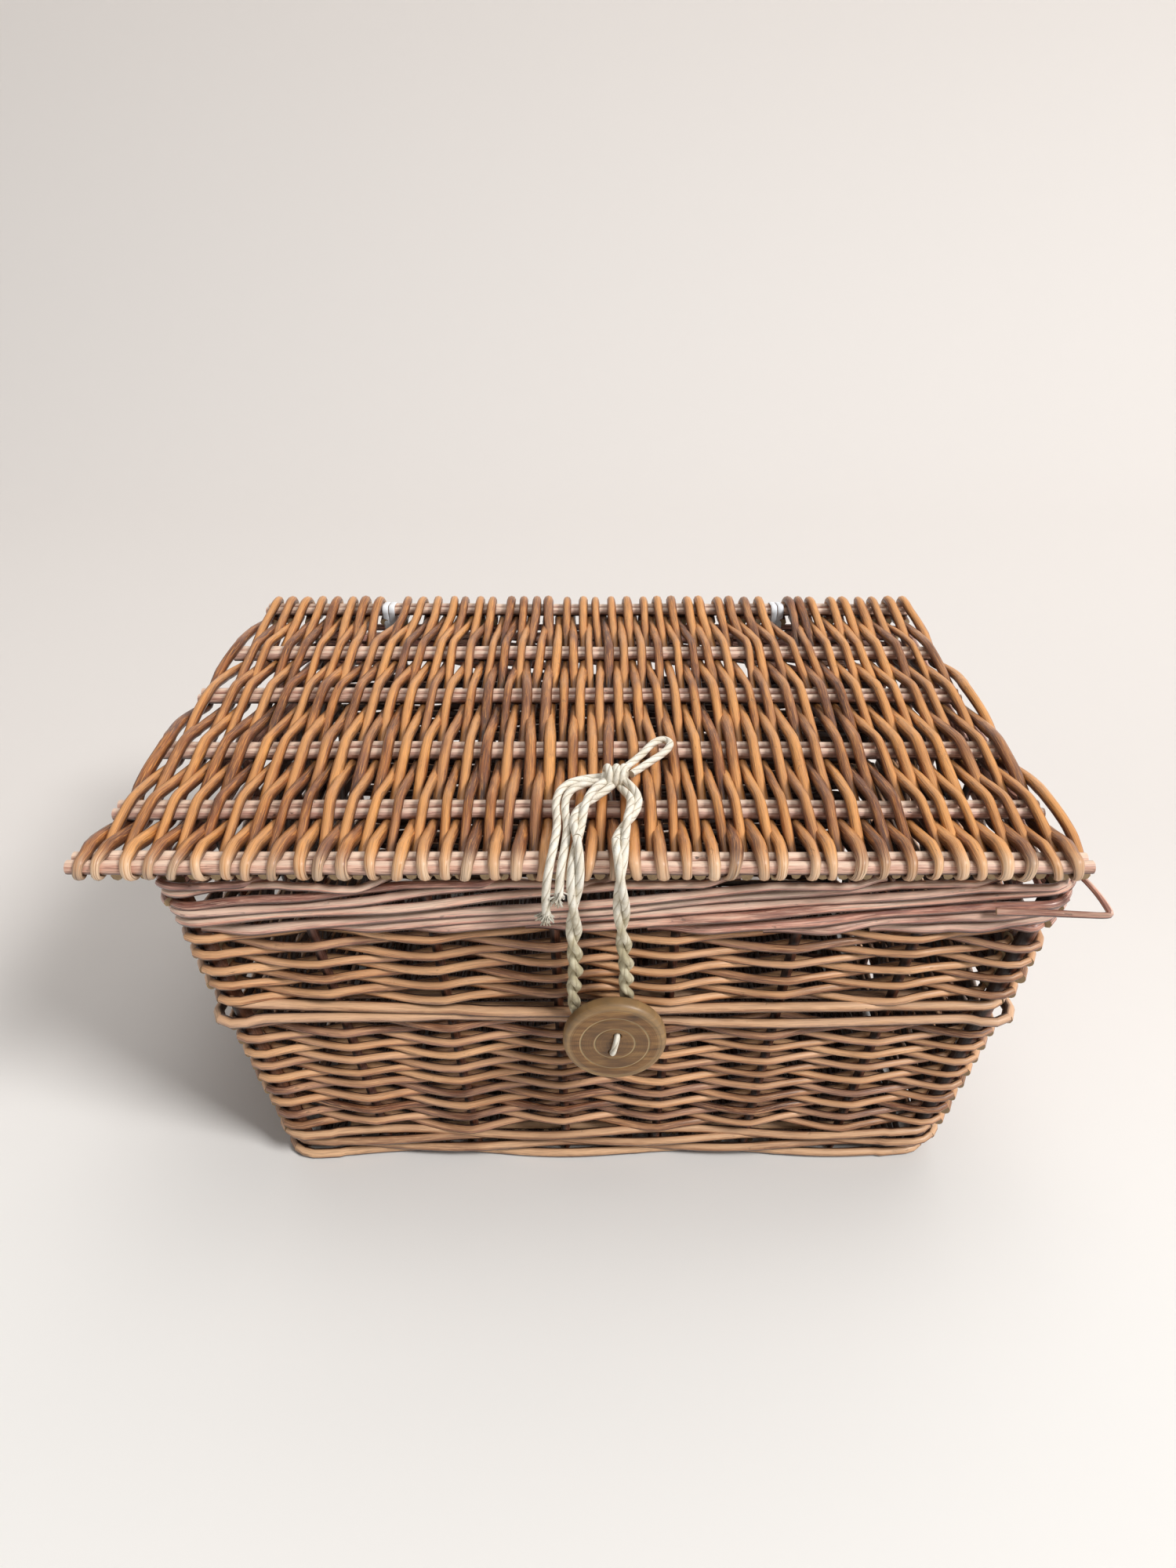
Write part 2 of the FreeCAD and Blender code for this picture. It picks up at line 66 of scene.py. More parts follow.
class Wire:
    """A shader socket that takes part in plain arithmetic: each operator adds its Math node."""

    def __init__(self, finish, socket):
        self.finish = finish
        self.socket = socket

    def __add__(self, other):
        return self.finish.maths("ADD", self, other)

    def __sub__(self, other):
        return self.finish.maths("SUBTRACT", self, other)

    def __rsub__(self, other):
        return self.finish.maths("SUBTRACT", other, self)

    def __mul__(self, other):
        return self.finish.maths("MULTIPLY", self, other)

    def __pow__(self, other):
        return self.finish.maths("POWER", self, other)

    __radd__ = __add__
    __rmul__ = __mul__


class Finish:
    """The nodes of a new material, or of a world, while they are being made up."""

    def __init__(self, name, world=None):
        self.owner = world or bpy.data.materials.new(name)
        self.owner.use_nodes = True
        self.nodes = self.owner.node_tree.nodes
        self.links = self.owner.node_tree.links
        self.shader = self.nodes["Background" if world else "Principled BSDF"]

    def node(self, kind, settings=None, inputs=(), out=0):
        """A node of a type: its settings first, then its sockets' values or wires, by place or name."""
        node = self.nodes.new(kind)
        for key, value in (settings or {}).items():
            if key == "stops":
                ramp = node.color_ramp
                while len(ramp.elements) < len(value):
                    ramp.elements.new(0.5)
                for element, (place, colour) in zip(ramp.elements, value):
                    element.position = place
                    element.color = (*colour, 1)
            else:
                setattr(node, key, value)
        shown = [s for s in node.inputs if s.enabled]
        named = inputs.items() if isinstance(inputs, dict) else enumerate(inputs)
        for key, value in named:
            socket = shown[key] if isinstance(key, int) else next(s for s in shown if s.name == key)
            self.feed(socket, value)
        outputs = [s for s in node.outputs if s.enabled]
        return Wire(self, outputs[out] if isinstance(out, int) else node.outputs[out])

    def feed(self, socket, value):
        if isinstance(value, Wire):
            self.links.new(value.socket, socket)
        else:
            socket.default_value = value if isinstance(value, (int, float)) else (
                (*value, 1) if socket.type == "RGBA" and len(value) == 3 else value)

    def maths(self, operation, *values):
        return self.node("ShaderNodeMath", {"operation": operation}, values)

    def vector(self, *numbers):
        return self.node("ShaderNodeCombineXYZ", {}, numbers)

    def numbers(self, vector):
        """The three numbers of a vector."""
        split = self.node("ShaderNodeSeparateXYZ", {}, [vector]).socket.node
        return [Wire(self, socket) for socket in split.outputs]

    def scaled(self, vector, times):
        """A vector multiplied by another, number by number."""
        return self.node("ShaderNodeVectorMath", {"operation": "MULTIPLY"}, [vector, times])

    def place(self):
        """Where the surface is, in metres."""
        return self.node("ShaderNodeTexCoord", {}, out="Object")

    def rod_place(self):
        """Where the surface is on its rod: metres along it and the share of a turn round it."""
        return self.node("ShaderNodeUVMap", {"uv_map": "rod"})

    def mix(self, share, first, second):
        """One colour over another by a share."""
        settings = {"data_type": "RGBA", "blend_type": "MIX", "clamp_factor": True}
        return self.node("ShaderNodeMix", settings, {"Factor": share, "A": first, "B": second})

    def ramp(self, share, stops):
        return self.node("ShaderNodeValToRGB", {"stops": stops}, [share])

    def fade(self, value, low, high):
        """0 below low, 1 above high and smooth between."""
        return self.node("ShaderNodeMapRange", {"interpolation_type": "SMOOTHSTEP"},
                         {"Value": value, "From Min": low, "From Max": high})

    def noise(self, place, scale, detail=2.0):
        return self.node("ShaderNodeTexNoise", {}, {"Vector": place, "Scale": scale, "Detail": detail})

    def surface(self, colour, rough, height=None, depth=0.0003, coat=0.0):
        """The finished surface: its colour, roughness, bump and a coat of gloss."""
        values = {"Base Color": colour, "Roughness": rough, "Coat Weight": coat, "Coat Roughness": 0.25}
        if height is not None:
            relief = {"Strength": 0.9, "Distance": depth, "Height": height}
            values["Normal"] = self.node("ShaderNodeBump", {}, relief)
        for socket, value in values.items():
            self.feed(self.shader.inputs[socket], value)
        return self.owner


LEAF_SCAR = (0.035, 0.012, 0.008)
CRACKED_BARK = (0.90, 0.65, 0.44)
SEAM_STEP = 0.002


def willow(name, tones, shade, bloom, rough=0.42, coat=0.12, speck=0.5, blooming=0.45, dirt_and_lit_heights=None,
           shaded_parts="inner"):
    """Dried willow bark, in a place that runs round the rod and along it, so that no seam shows: each
    rod takes its own tone from the ramp, streaks and fine grain run along it, small scars cross it,
    scuffs are light or dark, and patches bloom grey or mauve. Two heights, if given, set the bark by
    level: below the first it is dark, partly soiling and partly painted shade, and above the second it
    is lighter, partly wear and partly painted light. Painted shade darkens the parts of each rod turned
    from the light: "inner" is below and towards the inside, "side" is the side towards the rod's `side`
    and both edges, "under" is below, and "below" reaches higher up. A painted highlight lightens the
    side turned to the light, in patches."""
    f = Finish(name)
    along, around, _ = f.numbers(f.rod_place())
    turn = around * (2 * math.pi)
    c = f.maths("COSINE", turn)
    s = f.maths("SINE", turn)
    own = f.node("ShaderNodeAttribute", {"attribute_name": "own"}, out="Fac")
    pale = f.node("ShaderNodeAttribute", {"attribute_name": "pale"}, out="Fac")
    lightest = tones[-1][1]

    def bark(shift, across, lengthwise, scale, detail):
        """Noise at (across cos + shift own, across sin, lengthwise metres along)."""
        return f.noise(f.vector(c * across + own * shift, s * across, along * lengthwise), scale, detail)

    streak = bark(91, 1.3, 14, 2.6, 3)
    patch = bark(57, 0.35, 22, 1.0, 3)
    scar = bark(33, 1.1, 260, 1.0, 2)
    sparse = bark(11, 0.8, 45, 1.0, 2)
    scuff = bark(71, 2.4, 60, 1.6, 4)
    grain = bark(23, 4.2, 34, 2.2, 3)
    scars = f.fade(scar, 0.60, 0.70) * f.fade(sparse, 0.56, 0.66)
    light = own * 0.52 + f.fade(patch, 0.36, 0.64) * 0.40 + f.fade(streak, 0.36, 0.64) * 0.26 - 0.10
    # Painted light and shade by level, with soiling: darker low down and lighter high up.
    if dirt_and_lit_heights:
        level = f.numbers(f.place())[2]
        light = light + f.fade(level, *dirt_and_lit_heights) * 0.6 - 0.36
    colour = f.mix(f.fade(streak, 0.52, 0.66) * 0.7, f.ramp(light, tones), shade)
    bloomed = f.fade(patch * 0.7 + f.maths("FRACT", own * 7.31) * 0.3, 0.50, 0.62)
    colour = f.mix(bloomed * blooming, colour, bloom)
    colour = f.mix(f.fade(scuff, 0.55, 0.66) * 0.5, colour, lightest)
    colour = f.mix(f.fade(scuff, 0.46, 0.36) * 0.55, colour, shade)
    colour = f.mix(f.fade(grain, 0.54, 0.64) * 0.6, colour, shade)
    colour = f.mix(f.fade(grain, 0.45, 0.35) * 0.45, colour, lightest)
    colour = f.mix(scars * speck, colour, LEAF_SCAR)
    # Painted shade on the side of each rod turned from the light, and a painted highlight on the side
    # turned to it, as chosen for the kind of rod below.
    shade_darkness = 0.22
    lit_side = s * 0.8 + c * 0.6
    if shaded_parts == "side":
        shade_darkness = 0.75
        dirt_and_shade = c * 0.9 + f.maths("ABSOLUTE", s) * 0.6
        lit_side = 0 - c
    elif shaded_parts == "below":
        dirt_and_shade = 0.12 - s
    elif shaded_parts == "under":
        dirt_and_shade = 0 - s
        lit_side = s
    else:
        dirt_and_shade = f.maths("MAXIMUM", 0 - s, 0.1 - c * 1.2)
    # Painted highlight: the lit side is lightened past the lightest tone, in patches.
    painted_highlight = f.fade(lit_side + streak * 0.5, 0.85, 1.25) * f.fade(own + patch, 0.55, 1.1)
    colour = f.mix(painted_highlight * 0.55, colour, tuple(min(1.0, 1.15 * v + 0.04) for v in lightest))
    # Painted shade: the dark side of the rod is darkened towards a fraction of the shade tone.
    painted_shade = f.fade(dirt_and_shade + streak * 0.5, 0.25, 0.85) * 0.94
    colour = f.mix(painted_shade, colour, tuple(shade_darkness * v for v in shade))
    colour = f.mix(pale * f.fade(streak, 0.25, 0.55), colour, CRACKED_BARK)
    height = streak * 0.6 + scuff * 0.5 - grain * 0.5 - scars * 0.6
    return f.surface(colour, rough + streak * 0.22 + pale * 0.12, height, 0.00035, coat)


def cut_end(name, colour):
    """The pale pith and wood at a cut end: one colour and half of it, mixed by fine noise."""
    f = Finish(name)
    grain = f.noise(f.place(), 900, 2)
    return f.surface(f.mix(grain, colour, tuple(0.5 * c for c in colour)), 0.8, grain, 0.0002)


def unit(vectors):
    """Each vector divided by its length."""
    return vectors / np.linalg.norm(vectors, axis=-1, keepdims=True)


def metres_along(lines):
    """How far along its line each point is: the lengths of the steps before it added up."""
    steps = np.linalg.norm(np.diff(lines, axis=-2), axis=-1)
    return np.concatenate([np.zeros_like(steps[..., :1]), np.cumsum(steps, axis=-1)], axis=-1)


def add_object(name, data):
    item = bpy.data.objects.new(name, data)
    bpy.context.scene.collection.objects.link(item)
    return item


def fill(data, field, values, kind=np.float32):
    """An array goes into one field of a mesh's data, flattened."""
    data.foreach_set(field, np.asarray(values).astype(kind).reshape(-1))


def lay_rods(name, node, lines, radii, across, finish, own, slot, sides=8, pale=0.0, flat=1.0,
             closed=False, body="basket"):
    """Round rods as one mesh. Each ring stands square to its rod's line: centre + r cos(a) side + r
    sin(a) lift, where side is the line's direction crossed with `across`, lift is side crossed with the
    direction, and the section is `flat` times as tall as wide. Ends are closed by a flat cut. `own` is
    each rod's number for its tone, and `pale` is how far its bark is cracked at each ring. The piece
    stands for the CAD node `node`."""
    count, rings, _ = lines.shape
    if closed:
        direction = unit(np.roll(lines, -1, axis=1) - np.roll(lines, 1, axis=1))
    else:
        direction = unit(np.gradient(lines, axis=1))
    side = unit(np.cross(direction, np.broadcast_to(across, lines.shape)))
    lift = np.cross(side, direction)
    radii = np.broadcast_to(radii, (count, rings))
    squeeze = np.broadcast_to(flat, (count, rings))
    angle = (2 * np.pi * np.arange(sides) / sides)[None, None, :, None]
    wide = (radii / np.sqrt(squeeze))[..., None, None] * np.cos(angle) * side[:, :, None]
    tall = (radii * np.sqrt(squeeze))[..., None, None] * np.sin(angle) * lift[:, :, None]
    points = lines[:, :, None] + wide + tall
    steps = rings if closed else rings - 1
    rod = (np.arange(count) * rings * sides)[:, None, None]
    near = (np.arange(steps) * sides)[None, :, None]
    far = (((np.arange(steps) + 1) % rings) * sides)[None, :, None]
    k = np.arange(sides)[None, None, :]
    nxt = (k + 1) % sides
    corners = (rod + near + k, rod + far + k, rod + far + nxt, rod + near + nxt)
    quads = np.stack(np.broadcast_arrays(*corners), axis=-1).reshape(-1, 4)
    gone = metres_along(lines)
    ahead = np.concatenate([gone, gone[:, -1:] + SEAM_STEP], axis=1)
    low = np.broadcast_to(ahead[:, :steps, None], (count, steps, sides))
    high = np.broadcast_to(ahead[:, 1:steps + 1, None], (count, steps, sides))
    left = np.broadcast_to(k / sides, low.shape)
    right = left + 1 / sides
    corners = ((low, left), (high, left), (high, right), (low, right))
    uv = np.stack([np.stack(corner, -1) for corner in corners], -2).reshape(-1, 2)
    loops = quads.reshape(-1)
    sizes = np.full(len(quads), 4)
    if not closed:
        first = (rod[:, 0] + k[0]).reshape(count, sides)
        last = first[:, ::-1] + (rings - 1) * sides
        caps = np.concatenate([first, last]).reshape(-1)
        loops = np.concatenate([loops, caps])
        sizes = np.concatenate([sizes, np.full(2 * count, sides)])
        uv = np.concatenate([uv, np.zeros((len(caps), 2))])
    is_cap = np.arange(len(sizes)) >= len(quads)
    mesh = bpy.data.meshes.new(name)
    mesh.materials.append(finish)
    mesh.materials.append(finish if slot in ("twine", "tie_twine") else CUT_WILLOW)
    mesh.vertices.add(points.size // 3)
    fill(mesh.vertices, "co", points)
    mesh.loops.add(len(loops))
    fill(mesh.loops, "vertex_index", loops, np.int32)
    mesh.polygons.add(len(sizes))
    fill(mesh.polygons, "loop_start", np.concatenate([[0], np.cumsum(sizes)[:-1]]), np.int32)
    mesh.update(calc_edges=True)
    fill(mesh.polygons, "use_smooth", ~is_cap, bool)
    fill(mesh.polygons, "material_index", is_cap, np.int32)
    fill(mesh.uv_layers.new(name="rod").data, "uv", uv)
    own = np.broadcast_to(np.asarray(own, float).reshape(-1, 1, 1), (count, rings, sides))
    fill(mesh.attributes.new("own", "FLOAT", "POINT").data, "value", own)
    pale = np.broadcast_to(np.broadcast_to(pale, (count, rings))[..., None], (count, rings, sides))
    fill(mesh.attributes.new("pale", "FLOAT", "POINT").data, "value", pale)
    if not closed:
        ring_of = np.arange(len(mesh.vertices)) // sides % rings
        at_end = (ring_of == 0) | (ring_of == rings - 1)
        ends = np.zeros(len(mesh.edges) * 2, np.int32)
        mesh.edges.foreach_get("vertices", ends)
        sharp = at_end[ends.reshape(-1, 2)].all(axis=1)
        fill(mesh.attributes.new("sharp_edge", "BOOLEAN", "EDGE").data, "value", sharp, bool)
    mesh.validate()
    piece = add_object(name, mesh)
    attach(piece, body)
    if node:
        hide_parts(node)
    return piece


def wall_span(side, height):
    """Half the length of a wall's stake line and its distance from the middle, at a height."""
    long_half = FLOOR_LENGTH / 2 - WALL_HALF + LEAN * height
    short_half = FLOOR_DEPTH / 2 - WALL_HALF + LEAN * height
    return (long_half, short_half) if side in ("front", "back") else (short_half, long_half)


def on_wall(side, bay, height, out):
    """Points of a wall. `bay` counts stakes from the corner post on the left; the line is straight
    between the corners and turns there on a quarter circle whose radius grows with `out`."""
    bay, height, out = np.broadcast_arrays(bay, height, out)
    half, reach = wall_span(side, height)
    stakes = STAKES[side]
    middle_half = float(np.mean(half))
    end = 1 - CORNER_TURN * (1 - math.pi / 4) / middle_half
    shares = np.concatenate([[-end], 2 * np.arange(1, stakes + 1) / (stakes + 1) - 1, [end]])
    place = np.interp(bay, np.arange(stakes + 2), shares) * half
    past = np.maximum(np.abs(place) - (half - CORNER_TURN), 0) / CORNER_TURN
    straight = np.minimum(np.abs(place), half - CORNER_TURN)
    along = np.sign(place) * (straight + (CORNER_TURN + out) * np.sin(past) * (past > 0))
    away = reach - CORNER_TURN + (CORNER_TURN + out) * np.cos(past)
    ax, ay = ALONG[side]
    ox, oy = OUTWARD[side]
    return np.stack([ax * along + ox * away, ay * along + oy * away, height], axis=-1)


CUT_WILLOW = cut_end("cut_willow", (0.52, 0.36, 0.20))
STAKE_TONES = [(0.0, (0.10, 0.030, 0.014)), (0.5, (0.17, 0.055, 0.024)), (1.0, (0.26, 0.10, 0.045))]
STAKE_WILLOW = willow("stake_willow", STAKE_TONES, (0.06, 0.02, 0.012), (0.20, 0.10, 0.085),
                      shaded_parts="under")
chance = np.random.default_rng(11)
rise = np.linspace(STAKE_FOOT, STAKE_HEAD, 6)
for side in SIDES:
    bays = np.arange(1, STAKES[side] + 1)[:, None]
    lines = on_wall(side, bays, rise[None], 0.0)
    lay_rods(side + "_uprights", side + "_stakes", lines, STAKE_RADIUS, (1, 0.3, 0), STAKE_WILLOW,
             chance.random(STAKES[side]), slot="stake_willow")
rise = np.linspace(STAKE_FOOT, STAKE_HEAD, 8)
long_half, short_half = wall_span("front", rise)
corner = np.stack([long_half - POST_INSET, short_half - POST_INSET, rise], -1)
signs = np.array([(-1, -1, 1), (1, -1, 1), (1, 1, 1), (-1, 1, 1)])[:, None]
lay_rods("corner_uprights", "corner_posts", corner[None] * signs, POST_RADIUS, (1, 0.3, 0), STAKE_WILLOW,
         chance.random(4), slot="stake_willow", sides=12)


# The randed walls: single rods in front of one stake and behind the next, packed on each other in two
# bands. A rod's line swings out and in like a rounded zigzag. The rods of the ends and the back are
# stouter, and dip where they pass in front of a stake.
ROD_RADIUS = 0.0021
STOUTER = 0.0008
DIPS = {"front": 0.0, "right": 0.0020, "back": 0.0026, "left": 0.0020}
SWING = 0.0055
POST_SWING = 0.0066
LOWER_BAND = (0.0230, 0.1151, 17)
UPPER_BAND = (0.1292, 0.1785, 9)
WALL_TONES = [(0.0, (0.060, 0.019, 0.010)), (0.3, (0.26, 0.088, 0.034)), (0.58, (0.54, 0.225, 0.088)),
              (0.84, (0.86, 0.47, 0.23))]
WALL_WILLOW = willow("wall_willow", WALL_TONES, (0.12, 0.042, 0.020), (0.36, 0.20, 0.175), rough=0.33,
                     coat=0.22)


def zigzag(turn, sharp=0.993):
    """A cosine whose slopes are drawn straight, so that it bends only near its tops and bottoms."""
    return np.arcsin(sharp * np.cos(turn)) / math.asin(sharp)


def rough_line(rows, columns, size, chance, knots=9):
    """Slow wandering of hand work, one row per rod: random heights joined by smooth curves."""
    heights = chance.normal(0, size, (rows, knots))
    x = np.linspace(0, knots - 1.001, columns)
    i = x.astype(int)
    t = x - i
    t = t * t * (3 - 2 * t)
    return heights[:, i] * (1 - t) + heights[:, i + 1] * t


def knotted(rows, columns, radius, taper, chance, scars=5):
    """Radii along each rod: thick at the butt, thin at the tip, and slightly swollen at each old leaf."""
    s = np.linspace(0, 1, columns)[None]
    size = radius * (1 + chance.normal(0, 0.05, (rows, 1))) * (1 + taper * (0.5 - s))
    for _ in range(scars):
        size = size * (1 + 0.07 * np.exp(-((s - chance.random((rows, 1))) / 0.008) ** 2))
    return size


def rand_weave(side, band, bottom, top, courses, start, chance):
    """One wall's band of single rods, from the corner post on the left to the one on the right: out of
    the wall by a zigzag of half a turn per bay, the other way round in every second course."""
    bays = STAKES[side] + 1
    bay = np.linspace(0, bays, bays * 14 + 1)[None]
    course = np.arange(courses)[:, None]
    pitch = (top - bottom) / courses
    phase = np.pi * (bay + course + start)
    swing = np.interp(bay, [0, 0.8, bays - 0.8, bays], [POST_SWING, SWING, SWING, POST_SWING])
    out = swing * zigzag(phase)
    climb = 0.0004 * np.sin(phase) + 0.0007 * np.sin(2 * np.pi * bay) - DIPS[side] * zigzag(phase)
    drift = rough_line(1, bay.size, 0.0006, chance)
    drift = drift + rough_line(courses, bay.size, 0.00055, chance, 2 * bays)
    height = bottom + (course + 0.5) * pitch + climb + drift
    out = out + rough_line(courses, bay.size, 0.00025, chance, 2 * bays)
    radius = ROD_RADIUS if side == "front" else ROD_RADIUS + STOUTER
    radii = knotted(courses, bay.size, radius, 0.20, chance)
    place = side + "_" + band
    lay_rods(place + "_rods", place + "_weave", on_wall(side, bay, height, out), radii, (0, 0, 1),
             WALL_WILLOW, chance.random(courses), slot="wall_willow", sides=12, flat=1.05)


side_start = {"front": 0, "right": 7, "back": 12, "left": 19}
for side in SIDES:
    rand_weave(side, "lower", *LOWER_BAND, side_start[side], np.random.default_rng(21 + side_start[side]))
    rand_weave(side, "upper", *UPPER_BAND, side_start[side], np.random.default_rng(51 + side_start[side]))


# The foot and middle wales: stout rods laid round the wall, in front of two stakes and behind one at
# the foot, and in long nearly straight runs half way up, where one rod stands off the corner in a loop.
# One more rod at the foot and two half way up run inside the stakes.
FOOT_ROWS = np.array((0.0025, 0.0083, 0.0143, 0.0201))[:, None]
FOOT_RADIUS = 0.0025
FOOT_OUT = 0.0040
FOOT_SWING = 0.0024
FOOT_CLIMB = 0.0019
FOOT_INNER_LEVEL = 0.0140
MIDDLE_ROWS = np.array((0.1179, 0.1267))[:, None]
MIDDLE_RADIUS = 0.0027
MIDDLE_INNER_RADIUS = 0.0024
MIDDLE_OUT = 0.0054
MIDDLE_LEAST_OUT = 0.0034
MIDDLE_CLIMB = 0.0023
CORNER_LOOP = 0.006
CORNER_LOOP_BAYS = 0.16
INNER_OUT = -0.0054
INNER_MARGIN = 8
WALE_TONES = [(0.0, (0.15, 0.055, 0.028)), (0.4, (0.45, 0.210, 0.102)), (0.85, (0.85, 0.51, 0.28))]
WALE_WILLOW = willow("wale_willow", WALE_TONES, (0.18, 0.070, 0.035), (0.42, 0.25, 0.22), rough=0.33,
                     coat=0.22)
for side in SIDES:
    chance = np.random.default_rng(81 + side_start[side])
    bays = STAKES[side] + 1
    bay = np.linspace(0, bays, bays * 14 + 1)[None]
    inner_bay = bay[:, INNER_MARGIN:-INNER_MARGIN]
    row = np.arange(4)[:, None]
    turn = 2 * np.pi * (bay + side_start[side] + row) / 3
    out = FOOT_OUT + FOOT_SWING * np.cos(turn)
    out = out + np.where((bay < 0.5) | (bay > bays - 0.5), 0.0008, 0)
    height = FOOT_ROWS + FOOT_CLIMB * np.sin(turn) * (row > 0) + rough_line(4, bay.size, 0.0005, chance)
    height = np.maximum(height, FOOT_RADIUS + 0.0001)
    own = 0.35 + 0.65 * chance.random(4)
    radii = np.minimum(knotted(4, bay.size, FOOT_RADIUS, 0.12, chance), height - 0.00005)
    lay_rods(side + "_foot_rods", side + "_foot_wale", on_wall(side, bay, height, out), radii, (0, 0, 1),
             WALE_WILLOW, own, slot="wall_willow")
    inner = on_wall(side, inner_bay, FOOT_INNER_LEVEL, INNER_OUT)
    lay_rods(side + "_foot_inner_rod", None, inner, FOOT_RADIUS, (0, 0, 1), WALE_WILLOW, own[:1],
             slot="wall_willow")
    row = row[:2]
    turn = 2 * np.pi * (bay + side_start[side] + 2 * row) / 6
    out = MIDDLE_OUT * np.tanh(2.6 * (np.cos(turn) + 0.72)) / math.tanh(2.6 * 1.72)
    near_corner = np.exp(-(bay / CORNER_LOOP_BAYS) ** 2) + np.exp(-((bays - bay) / CORNER_LOOP_BAYS) ** 2)
    out = np.maximum(out, MIDDLE_LEAST_OUT) + CORNER_LOOP * near_corner * (row == 0)
    height = MIDDLE_ROWS + MIDDLE_CLIMB * np.sin(turn) + rough_line(2, bay.size, 0.0006, chance)
    own = 0.5 + 0.5 * chance.random(4)
    radii = knotted(2, bay.size, MIDDLE_RADIUS, 0.1, chance)
    outer = on_wall(side, bay, height, out)
    lay_rods(side + "_middle_rods", side + "_middle_wale", outer, radii, (0, 0, 1), WALE_WILLOW, own[:2],
             slot="wall_willow")
    height = MIDDLE_ROWS + rough_line(2, inner_bay.size, 0.0003, chance)
    inner = on_wall(side, inner_bay, height, INNER_OUT)
    lay_rods(side + "_middle_inner_rods", None, inner, MIDDLE_INNER_RADIUS, (0, 0, 1), WALE_WILLOW,
             own[2:], slot="wall_willow")


# The border: long stout rods rolled round the rim. Each starts low between two stakes, comes out and
# climbs over five and a half bays to the rim, so that about six lie over each other at any place. Along
# the back they stay below the rear top rod, which the lid is tied to.
BORDER_LOW = 0.1798
BORDER_HIGH = 0.2108
BORDER_OUT = 0.0058
BORDER_TUCK = 0.001
BORDER_RADIUS = 0.0024
ALL_BAYS = 24
BORDER_RODS = 26
BORDER_SPAN = 5.5
CLIMB_SHARE = 0.84
OUT_SHARE = 0.10
IN_SHARE = 0.06
LEAST_BAYS = 0.12
BACK_BORDER_RADIUS = 0.0031
BACK_BORDER_HIGH = BORDER_HIGH - 0.0065
HINGE_LEVEL = 0.211
BORDER_TONES = [(0.0, (0.15, 0.048, 0.034)), (0.28, (0.50, 0.200, 0.135)), (0.52, (0.92, 0.44, 0.31)),
                (0.8, (1.0, 0.66, 0.50))]
BORDER_WILLOW = willow("border_willow", BORDER_TONES, (0.19, 0.070, 0.055), (0.62, 0.33, 0.32), rough=0.26,
                       coat=0.5, blooming=0.25, shaded_parts="below")
own_border = np.random.default_rng(5).random(BORDER_RODS)
jitter = np.random.default_rng(6).normal(0, 0.07, BORDER_RODS)
begin = ALL_BAYS * np.arange(BORDER_RODS) / BORDER_RODS + jitter
share = np.linspace(0, 1, 90)[None]
for side in SIDES:
    chance = np.random.default_rng(101 + side_start[side])
    bays = STAKES[side] + 1
    rods, tones = [], []
    for lap in (-ALL_BAYS, 0, ALL_BAYS):
        start = begin + lap - side_start[side]
        low = np.maximum(start, 0)
        high = np.minimum(start + BORDER_SPAN, bays)
        kept = high - low > LEAST_BAYS
        bay = low[kept, None] * (1 - share) + high[kept, None] * share
        along = (bay - start[kept, None]) / BORDER_SPAN
        rods.append(np.stack([bay, along]))
        tones.append(own_border[kept])
    bay, along = np.concatenate(rods, axis=1)
    own = np.concatenate(tones)
    climb = np.minimum(along / CLIMB_SHARE, 1)
    climb = climb + 0.035 * np.sin(2 * np.pi * climb)
    height = BORDER_LOW + (BORDER_HIGH - BORDER_LOW) * climb + rough_line(len(bay), 90, 0.0007, chance, 6)
    tucked = np.clip(along / OUT_SHARE, 0, 1) * np.clip((1 - along) / IN_SHARE, 0, 1)
    tucked = tucked * tucked * (3 - 2 * tucked)
    out = -BORDER_TUCK + (BORDER_OUT + BORDER_TUCK) * tucked + rough_line(len(bay), 90, 0.0011, chance, 6)
    height = np.minimum(height, RIM_HEIGHT - BORDER_RADIUS)
    radii = BORDER_RADIUS * (1.12 - 0.35 * along) * (1 + 0.05 * own[:, None])
    if side == "back":
        radii = np.maximum(radii, BACK_BORDER_RADIUS)
        height = np.where(climb < 0.86, height, np.minimum(height, BACK_BORDER_HIGH))
    lay_rods(side + "_border_rods", side + "_border", on_wall(side, bay, height, out), radii, (0, 0, 1),
             BORDER_WILLOW, own, slot="border_willow")
hinge_bay = np.linspace(0, STAKES["back"] + 1, 60)[None]
hinge_line = on_wall("back", hinge_bay, HINGE_LEVEL, BORDER_OUT)
lay_rods("rear_top_rod", "hinge_rod", hinge_line, BORDER_RADIUS, (0, 0, 1), BORDER_WILLOW, [0.4],
         slot="border_willow")


def route_line(name, points, step=0.0008):
    """The smooth line of a route in metres, a NURBS spline of order 3 read at even steps,
    and its length."""
    curve = bpy.data.curves.new(name + "_route", "CURVE")
    curve.dimensions = "3D"
    spline = curve.splines.new("NURBS")
    spline.points.add(len(points) - 1)
    for control, point in zip(spline.points, points):
        control.co = (*point, 1)
    spline.order_u = 3
    spline.use_endpoint_u = True
    spline.resolution_u = 24
    carrier = add_object(name + "_route", curve)
    bpy.context.view_layer.update()
    mesh = bpy.data.meshes.new_from_object(carrier)
    line = np.zeros(len(mesh.vertices) * 3)
    mesh.vertices.foreach_get("co", line)
    line = line.reshape(-1, 3)
    bpy.data.objects.remove(carrier)
    bpy.data.meshes.remove(mesh)
    bpy.data.curves.remove(curve)
    gone = metres_along(line)
    even = np.linspace(0, gone[-1], max(12, int(gone[-1] / step)))
    return np.stack([np.interp(even, gone, line[:, i]) for i in range(3)], -1), float(gone[-1])


